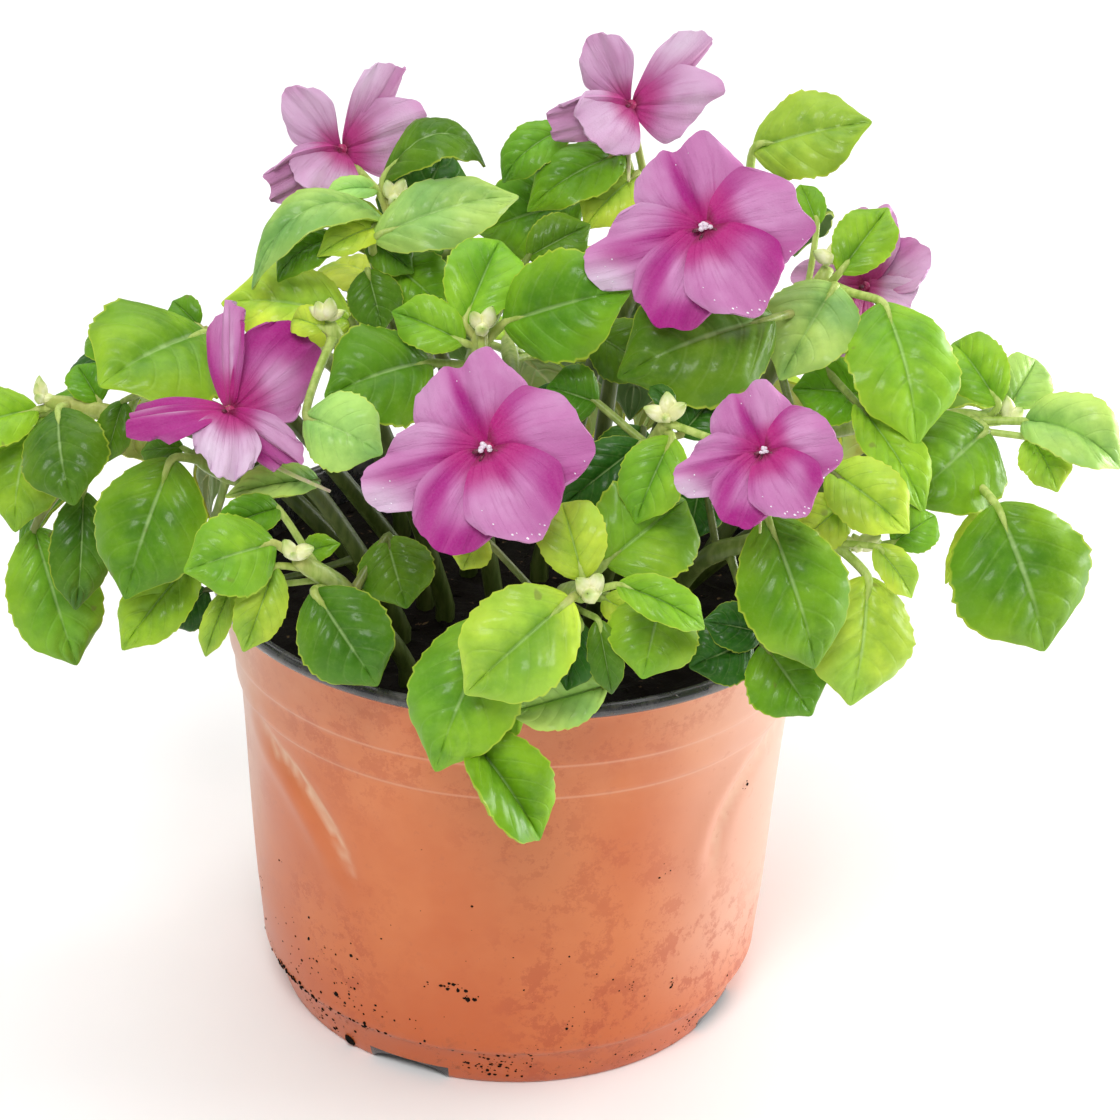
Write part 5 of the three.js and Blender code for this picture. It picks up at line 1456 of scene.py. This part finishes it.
# %% Shades of a petal
def petal_shades(row, spin, c, r, habit, wash):
    """For each point how deep its colour is, how pale and one number for the petal, and then how white.
    The depth holds painted shade in the hollows of the folds, along the crease and under the next petal, and
    the paleness holds painted light on the ridges of the folds.
    """
    angle = math.radians(row[0] + spin)
    # painted shade and painted light: the folds are painted deeper in their hollows and paler on their ridges
    folds = np.sin(WAVES * c + 2 * angle) * 0.6 + np.sin(11 * c + 6 * habit[2]) * 0.4
    throat = np.exp(-((r / 0.34) ** 2))
    # painted shade along the crease near the middle of the petal
    crease = (0.35 + 2.5 * row[7]) * np.exp(-((c / 0.14) ** 2)) * np.clip(1.5 - 1.6 * r, 0, 1)
    # painted shade on the side that tucks under the next petal
    shade_under_next_petal = 0.6 * np.clip((c - 0.55) / 0.45, 0, 1) * np.clip(2 - 2 * r, 0, 1)
    deep = throat + crease + shade_under_next_petal + 0.5 * np.clip(-folds, 0, 1) * np.sin(math.pi * r**0.7)
    pale = (0.35 + 0.65 * np.clip(folds + 0.2, 0, 1)) * np.clip(2.4 * (r - 0.15), 0, 1) + wash
    white = np.full(len(c), 0.35 * wash)
    for side, out, wide, long, deeper, whiter in MARKS.get(row[0], ()):
        patch = np.exp(-(((c - side) / wide) ** 2) - ((r - out) / long) ** 2)
        deep, pale, white = deep + deeper * patch, pale - deeper * patch, white + whiter * patch
    return np.c_[np.clip(deep, 0, 1), np.clip(pale, 0, 1), np.full(len(c), habit[3])], np.clip(white, 0, 1)


petal_blank = blank_grid("petal_blank", 26, 20, "petal")
print("petal blank:", len(petal_blank.data.polygons), "faces")

# %% [markdown]
# ## Petal colour
#
# The petals are a cool magenta that deepens towards the throat, with fine veins that fan out from it and a
# paler, almost silvery bloom painted towards the edges, a painted sheen where the light catches the cells.
# Their shades also hold painted shade in the hollows of the folds, along the crease and under the next
# petal, and painted light on the ridges of the folds. The back of a petal is a washed-out lilac. Two
# materials on the two sides of one sheet show both.

# %% Petal finishes
def petal_finish(name, deep, body, light, edge_sheen, gloss):
    """One side of a petal, from its deepest colour to its lightest."""
    petal = Finish(name, Sheen_Weight=0.05, Sheen_Roughness=0.4, Specular_IOR_Level=0.2)
    c, r = map_of(petal, "petal")
    edge = abs(c * 2 - 1)
    depth, paleness, own = petal.parts(petal.noted("tint", "vector"))
    white = petal.noted("white", "number")
    fan = petal.add("ShaderNodeCombineXYZ", {}, {0: c * 30.0, 1: r * 2.0, 2: own * 30.0})
    line = petal.rise(petal.grain(1.0, 4.0, 0.6, vector=fan), 0.48, 0.68)
    patch = petal.spots(0.34, 0.66, 95.0, 3.0, 0.55)
    cell = petal.spots(0.3, 0.75, 2600.0, 2.0, 0.6)
    # painted sheen: the petal is painted paler and silvery towards its edges and its end
    outer = petal.rise(edge + r + 0.3 * patch, 1.25, 2.1)
    colour = petal.layers(
        petal.blend(paleness * (0.45 + 0.55 * patch), body, light),
        (outer * edge_sheen, (0.56, 0.34, 0.52)),
        (depth * (0.80 + 0.20 * patch), deep),
        (white * (0.65 + 0.35 * patch), (0.68, 0.53, 0.67)),
        (line * petal.rise(r, 0.95, 0.3) * 0.28, deep),
        (petal.rise(r, 0.50, 0.14) * 0.85, (0.42, 0.008, 0.165)),
        (petal.rise(r, 0.15, 0.05) * 0.85, (0.20, 0.003, 0.045)),
        (cell * 0.05, (0.70, 0.40, 0.62)),
    )
    roughness = petal.rise(patch + cell, 0.0, 2.0, gloss, gloss + 0.16)
    return petal.finish(colour, roughness=roughness, height=cell * 0.4 + line, depth=0.00012)


petal_top_finish = petal_finish(
    "petal_upper",
    deep=(0.345, 0.005, 0.190), body=(0.42, 0.070, 0.29), light=(0.57, 0.25, 0.48), edge_sheen=0.4, gloss=0.42,
)
petal_under_finish = petal_finish(
    "petal_underside",
    deep=(0.36, 0.030, 0.26), body=(0.51, 0.19, 0.44), light=(0.66, 0.43, 0.64), edge_sheen=0.8, gloss=0.38,
)
print("petals have two sides")

# %% [markdown]
# ## Throat, pollen and spur
#
# In the middle sits a small white cap of pollen over a dark eye. Behind the petals a thread-thin spur holds
# the nectar and curves away below. The throat, the lobes and the grains of pollen are all one small ball,
# drawn out in different ways, and their finishes differ only in their two colours and the size of the spots.

# %% Parts of a flower's middle
BEHIND, BENT_BACK = 2.4, 0.12  # where a flower's stalk ends, and how far back it bends


def speckled(finish, colours, spots, roughness, depth=0.0002):
    """A small thing in two colours. Its spots are rougher than the rest, and stand out."""
    spots = finish.spots(*spots)
    height = spots if depth else None
    colour, rough = finish.blend(spots, *colours), roughness[0] + roughness[1] * spots
    return finish.finish(colour, roughness=rough, height=height, depth=depth)


pollen, eye = Finish("pollen_cap"), Finish("throat", Coat_Weight=0.2)
lobes, dew = Finish("dark_lobes", Coat_Weight=0.2), Finish("dew", Coat_Weight=1.0)
spur = Finish("spur_and_flaps")
pale_pink, dark_red = ((0.78, 0.60, 0.74), (0.93, 0.88, 0.93)), ((0.30, 0.004, 0.07), (0.44, 0.012, 0.13))
near_black, glint_white = ((0.06, 0.001, 0.012), (0.20, 0.003, 0.05)), ((0.80, 0.68, 0.80), (0.96, 0.93, 0.97))
green_and_pink = ((0.52, 0.60, 0.20), (0.74, 0.46, 0.55))
pollen_finish = speckled(pollen, pale_pink, (0.35, 0.7, 1800.0, 3.0, 0.7), (0.35, 0.2), depth=0.0003)
eye_finish = speckled(eye, dark_red, (0.35, 0.7, 900.0, 3.0, 0.7), (0.35, 0.2))
dark_lobe_finish = speckled(lobes, near_black, (0.35, 0.7, 1200.0, 3.0, 0.7), (0.4, 0.2))
# painted highlight: the drops of dew are painted near white, standing in for the glints of light on them
dew_glint_finish = speckled(dew, glint_white, (0.35, 0.7, 2500.0, 2.0), (0.08, 0.1), depth=None)
spur_finish = speckled(spur, green_and_pink, (0.4, 0.7, 260.0), (0.35, 0.15))


def ball(name, place, radii, axis, finish, rings=8):
    """A small egg, its long way along an axis."""
    choose()
    bpy.ops.mesh.primitive_uv_sphere_add(segments=12, ring_count=rings, radius=MM)
    egg = bpy.context.object
    egg.name = name
    turn = np.array(Vector((0, 0, 1)).rotation_difference(Vector(axis)).to_matrix())
    set_points(egg, (points_of(egg) * radii) @ turn.T + place)
    bpy.ops.object.shade_smooth()
    egg.data.materials.append(finish)
    return egg


def flower_stalk(line, centre, axis, place):
    """From the stem to just behind the flower, bent back a little."""
    start = line[round((len(line) - 1) * place)]
    end = centre - axis * BEHIND
    middle = (start + end) / 2 - axis * BENT_BACK * np.linalg.norm(end - start)
    run = smooth_line(start, [start, middle, end], 7)
    return run, np.interp(np.linspace(0, 1, len(run)), [0, 0.1, 0.85, 1], [1.1, 0.75, 0.7, 1.1])


print("middle parts ready")

# %% Put a flower together
DEW = {  # for each petal with drops on it: place across and along, and size
    0: [(0.1, 0.84, 0.12), (-0.15, 0.88, 0.1)],
    1: [(0.2, 0.78, 0.15), (0.32, 0.84, 0.1), (0.7, 0.86, 0.17), (0.84, 0.9, 0.11), (0.52, 0.93, 0.14),
        (0.9, 0.7, 0.12)],
    3: [(-0.7, 0.9, 0.13), (-0.5, 0.93, 0.1)],
    4: [(-0.42, 0.93, 0.16), (-0.34, 0.90, 0.10), (-0.22, 0.95, 0.19), (-0.12, 0.92, 0.12), (0.0, 0.95, 0.17),
        (0.1, 0.90, 0.09), (0.16, 0.95, 0.13), (-0.62, 0.8, 0.12), (-0.7, 0.62, 0.09)],
}
LOBES = ((198, 1.7, 1.0), (244, 1.9, 1.2), (-14, 1.7, 1.0))  # direction, how far out and how long
ONE_LOBE = ((200, 0.9, 0.5),)
CAPS, WASH, PETAL_THICKNESS = 7, 0.6, 0.45
DROP_SHAPE, CAP_SHAPE, THROAT_SHAPE = np.array([[1.5, 0.9, 1], [0.5, 0.42, 0.6], [1.5, 1.5, 1.3]])
DROP_LIFT, THROAT_LIFT, LOBE_LIFT, CAP_LIFT = 0.3, 0.7, 1.8, 2.5
SMALL_THROAT, SPUR_RADII = 0.65, (1.3, 0.6, 0.3)


def open_petals(frame, bloom, draw):
    """The petals of a flower, each a little above the last, and the drops of dew on them."""
    _, size, _, _, spin, rows, _, _ = bloom
    centre, axis, right_way, high_way = frame
    c, r = on_blank(petal_blank)
    petals, drops = [], []
    for i, row in enumerate(rows):
        petal = copy_of(petal_blank, "petal")
        habit = [next(draw) for _ in range(4)]
        heart = centre + axis * (i - 2) * LAYER
        set_points(petal, lay_petal(heart, frame, row, size, spin, c, r, habit))
        # flowers seen edge on are washed paler and whiter, partly painted light for petals that lie in shade
        wash = WASH if rows in (SIDEWAYS, HALF_SEEN) else 0.0
        shades, white = petal_shades(row, spin, c, r, habit, wash)
        tinted(petal, shades)
        note_points(petal, "white", white)
        petals.append(petal)
        for across, along, drop_size in DEW.get(i, ()) if rows is OPEN else ():
            place = np.array([across]), np.array([along])
            spot = lay_petal(heart, frame, row, size, spin, *place, habit)[0] + axis * DROP_LIFT
            way = right_way + high_way * (i - 2)
            drops.append(ball("dew", spot, DROP_SHAPE * drop_size, way, dew_glint_finish, 6))
    return petals, drops


def flower_middle(frame, size, is_open, draw):
    """The throat, the dark lobes round it and the caps of pollen over it."""
    centre, axis, right_way, high_way = frame
    radii = THROAT_SHAPE * (size if is_open else SMALL_THROAT)
    throat = ball("throat", centre + axis * THROAT_LIFT, radii, axis, eye_finish)
    parts = []
    for angle, out, long in LOBES if is_open else ONE_LOBE:
        way = right_way * math.cos(math.radians(angle)) + high_way * math.sin(math.radians(angle))
        place, radii = centre + axis * LOBE_LIFT + way * out * size, np.array([0.5, 0.42, long]) * size
        parts.append(ball("lobe", place, radii, way, dark_lobe_finish, 6))
    for i in range(CAPS if is_open else 0):
        way = right_way * (next(draw) - 0.6) * 1.9 + high_way * (0.5 - 0.18 * i + 0.3 * next(draw))
        place = centre + way * size + axis * (CAP_LIFT + 0.4 * next(draw))
        parts.append(ball("cap", place, CAP_SHAPE * size, axis, pollen_finish, 6))
    return throat, parts


def flower_spur(frame, size, sideways):
    """A thread behind the flower that curves away below."""
    centre, axis, _, high_way = frame
    down = centre - axis * 3 - high_way * 1.5
    knee, end = down - high_way * 7 - axis * 3 + sideways * 0.6, down - high_way * 12 + sideways * 1.5
    line = smooth_line(centre, [centre - axis * 0.8, down, knee, end], 6)
    radii = np.interp(np.arange(len(line)), [0, 6, 18], SPUR_RADII) * size
    thread = tubes("spur", [(line, radii)])
    thread.data.materials.append(spur_finish)
    return thread


print("drops of dew on an open flower:", sum(len(drops) for drops in DEW.values()))


# %% Open the flowers
def open_flower(name, bloom, seed):
    """A whole flower as one piece."""
    centre, size, lean, turn, _, rows, _, _ = bloom
    frame = bloom_frame(centre, lean, turn)
    draw = draws(seed * SEED_STEP)
    petals, drops = open_petals(frame, bloom, draw)
    flower = thick(joined(petals, name), PETAL_THICKNESS, (petal_top_finish, petal_under_finish))
    throat, parts = flower_middle(frame, size, rows is OPEN, draw)
    thread = flower_spur(frame, size, frame[2] * (12 if rows is RUFFLED else 0))
    return joined([flower, throat, *drops, *parts, thread], name)


faces = 0
for seed, (name, bloom) in enumerate(BLOOMS.items(), start=3):
    flower = open_flower("flower_" + name, bloom, seed)
    stands_for(flower, "bloom_" + name, "petal")
    faces += len(flower.data.polygons)
print("flowers:", faces, "faces")

# %% Grow the shoots
faces = 0
for seed, (name, (root, path, rows, tones)) in enumerate(growing.items(), start=11):
    coarse = stem_line(root, path, 2)
    flower_runs = []
    for centre, _, lean, turn, _, _, carrier, place in BLOOMS.values():
        if carrier == name:
            centre, axis, _, _ = bloom_frame(centre, lean, turn)
            flower_runs.append(flower_stalk(coarse, centre, axis, place))
    shoot = grow_shoot("leafy_" + name, root, path, rows, tones, flower_runs, seed)
    stands_for(shoot, "shoot_" + name, "shaded_leaf" if name in BACK_SHOOTS else "leaf")
    faces += len(shoot.data.polygons)
print("shoots:", faces, "faces")

# %% [markdown]
# ## Buds
#
# Clusters of young buds sit at the tips: cream drops with a green point, each a little ribbed, on a stalk too
# short to see. One ball is drawn out into that drop, and copied and scaled for every bud.

# %% Bud finish
bud_skin = Finish("bud_skin", Coat_Weight=0.15, Coat_Roughness=0.3)
_, up_the_bud = map_of(bud_skin, "bud")
soft = bud_skin.spots(0.35, 0.7, 500.0)
colour = bud_skin.blend(soft, (0.74, 0.76, 0.34), (0.88, 0.88, 0.58))
colour = bud_skin.blend(bud_skin.rise(up_the_bud, 0.55, 0.95) * 0.85, colour, (0.30, 0.48, 0.05))
colour = bud_skin.blend(bud_skin.rise(up_the_bud, 0.28, 0.03) * 0.85, colour, (0.30, 0.46, 0.06))
bud_finish = bud_skin.finish(colour, roughness=0.32 + 0.16 * soft, height=soft, depth=0.0002, strength=0.3)

# %% Bud blank
FOOT_POWER, END_POINT, WIDEST, RIBS, RIB_DEPTH, HOOK = 0.55, 0.85, 0.3905, 5, 0.07, 0.45
choose()
bpy.ops.mesh.primitive_uv_sphere_add(segments=12, ring_count=12, radius=MM)
bud_blank = bpy.context.object
bud_blank.name = "bud_blank"
bud_blank.data.uv_layers.active.name = "bud"
bpy.ops.object.shade_smooth()
drop = points_of(bud_blank)
share = (drop[:, 2] + 1) / 2
turn = np.arctan2(drop[:, 1], drop[:, 0])
girth = share**FOOT_POWER * (1 - share) ** END_POINT / WIDEST * (1 + RIB_DEPTH * np.cos(RIBS * turn))
drop = np.c_[girth * np.cos(turn), girth * np.sin(turn), share]
drop[:, 0] += HOOK * share**3
set_points(bud_blank, drop)
print("bud blank:", len(bud_blank.data.polygons), "faces")

# %% Bud clusters
BUDS = {  # the way each bud points, its length and its radius
    "far_left": [(10, -90, 5, 1.2), (5, 60, 4.5, 1.2)],
    "top_left": [(35, 50, 5.5, 1.4), (30, -50, 4.5, 1.3), (75, 10, 4.5, 1.3)],
    "left_mid": [(30, 30, 5.5, 1.4), (35, -60, 4.5, 1.3)],
    "centre": [(30, 60, 5.5, 1.5), (35, -50, 5, 1.3), (75, 0, 4.5, 1.3)],
    "right_mid": [(5, -60, 5, 1.7), (35, 50, 5, 1.5), (60, -80, 5, 1.5)],
    "front_left": [(30, -20, 5, 1.4), (50, 70, 5, 1.4)],
    "front": [(35, -45, 5, 1.6), (20, 60, 5.5, 1.6), (65, 0, 5, 1.6)],
    "right_low": [(50, 85, 5, 1.5), (70, 95, 4.5, 1.4)],
    "far_right": [(5, -30, 5.5, 1.5), (50, 60, 4.5, 1.4)],
    "right_top": [(50, -50, 5.5, 1.4), (50, 160, 4.5, 1.4)],
}
TINY_BUDS, BUD_SEED, FULL_TURN = 4, 6271, 6.28


def place_bud(heart, lean, turn, length, radius, spin):
    """A bud with its foot in the heart of the cluster."""
    bud = copy_of(bud_blank, "bud")
    way = Vector(facing(lean, turn))
    twist = np.array((way.to_track_quat("Z", "Y").to_matrix() @ Matrix.Rotation(spin, 3, "Z")))
    set_points(bud, (drop * [radius, radius, length]) @ twist.T + heart)
    return bud


for seed, (name, rows) in enumerate(BUDS.items(), start=5):
    draw = draws(seed * BUD_SEED)
    root, path, _, _ = growing[name]
    line = stem_line(root, path, 2)
    heart = line[-1] + unit(line[-1] - line[-2]) * (0.6 + 0.5 * max(row[3] for row in rows))
    buds = [place_bud(heart, *row, FULL_TURN * next(draw)) for row in rows]
    for i in range(TINY_BUDS):
        lean, turn = 20 + 50 * next(draw), 90 * i + 60 * next(draw) - 120
        length, radius = 2.6 + 1.4 * next(draw), 0.9 + 0.3 * next(draw)
        buds.append(place_bud(heart, lean, turn, length, radius, FULL_TURN * next(draw)))
    cluster = joined(buds, "bud_cluster_" + name)
    cluster.data.materials.append(bud_finish)
    stands_for(cluster, "buds_" + name, "bud")
print("bud clusters:", len(BUDS))

# %% [markdown]
# ## Clearing up
#
# The blanks have served, and are taken away.

# %% Finish
for blank in (broad_blank, young_blank, petal_blank, bud_blank, crumb_blank):
    bpy.data.objects.remove(blank)
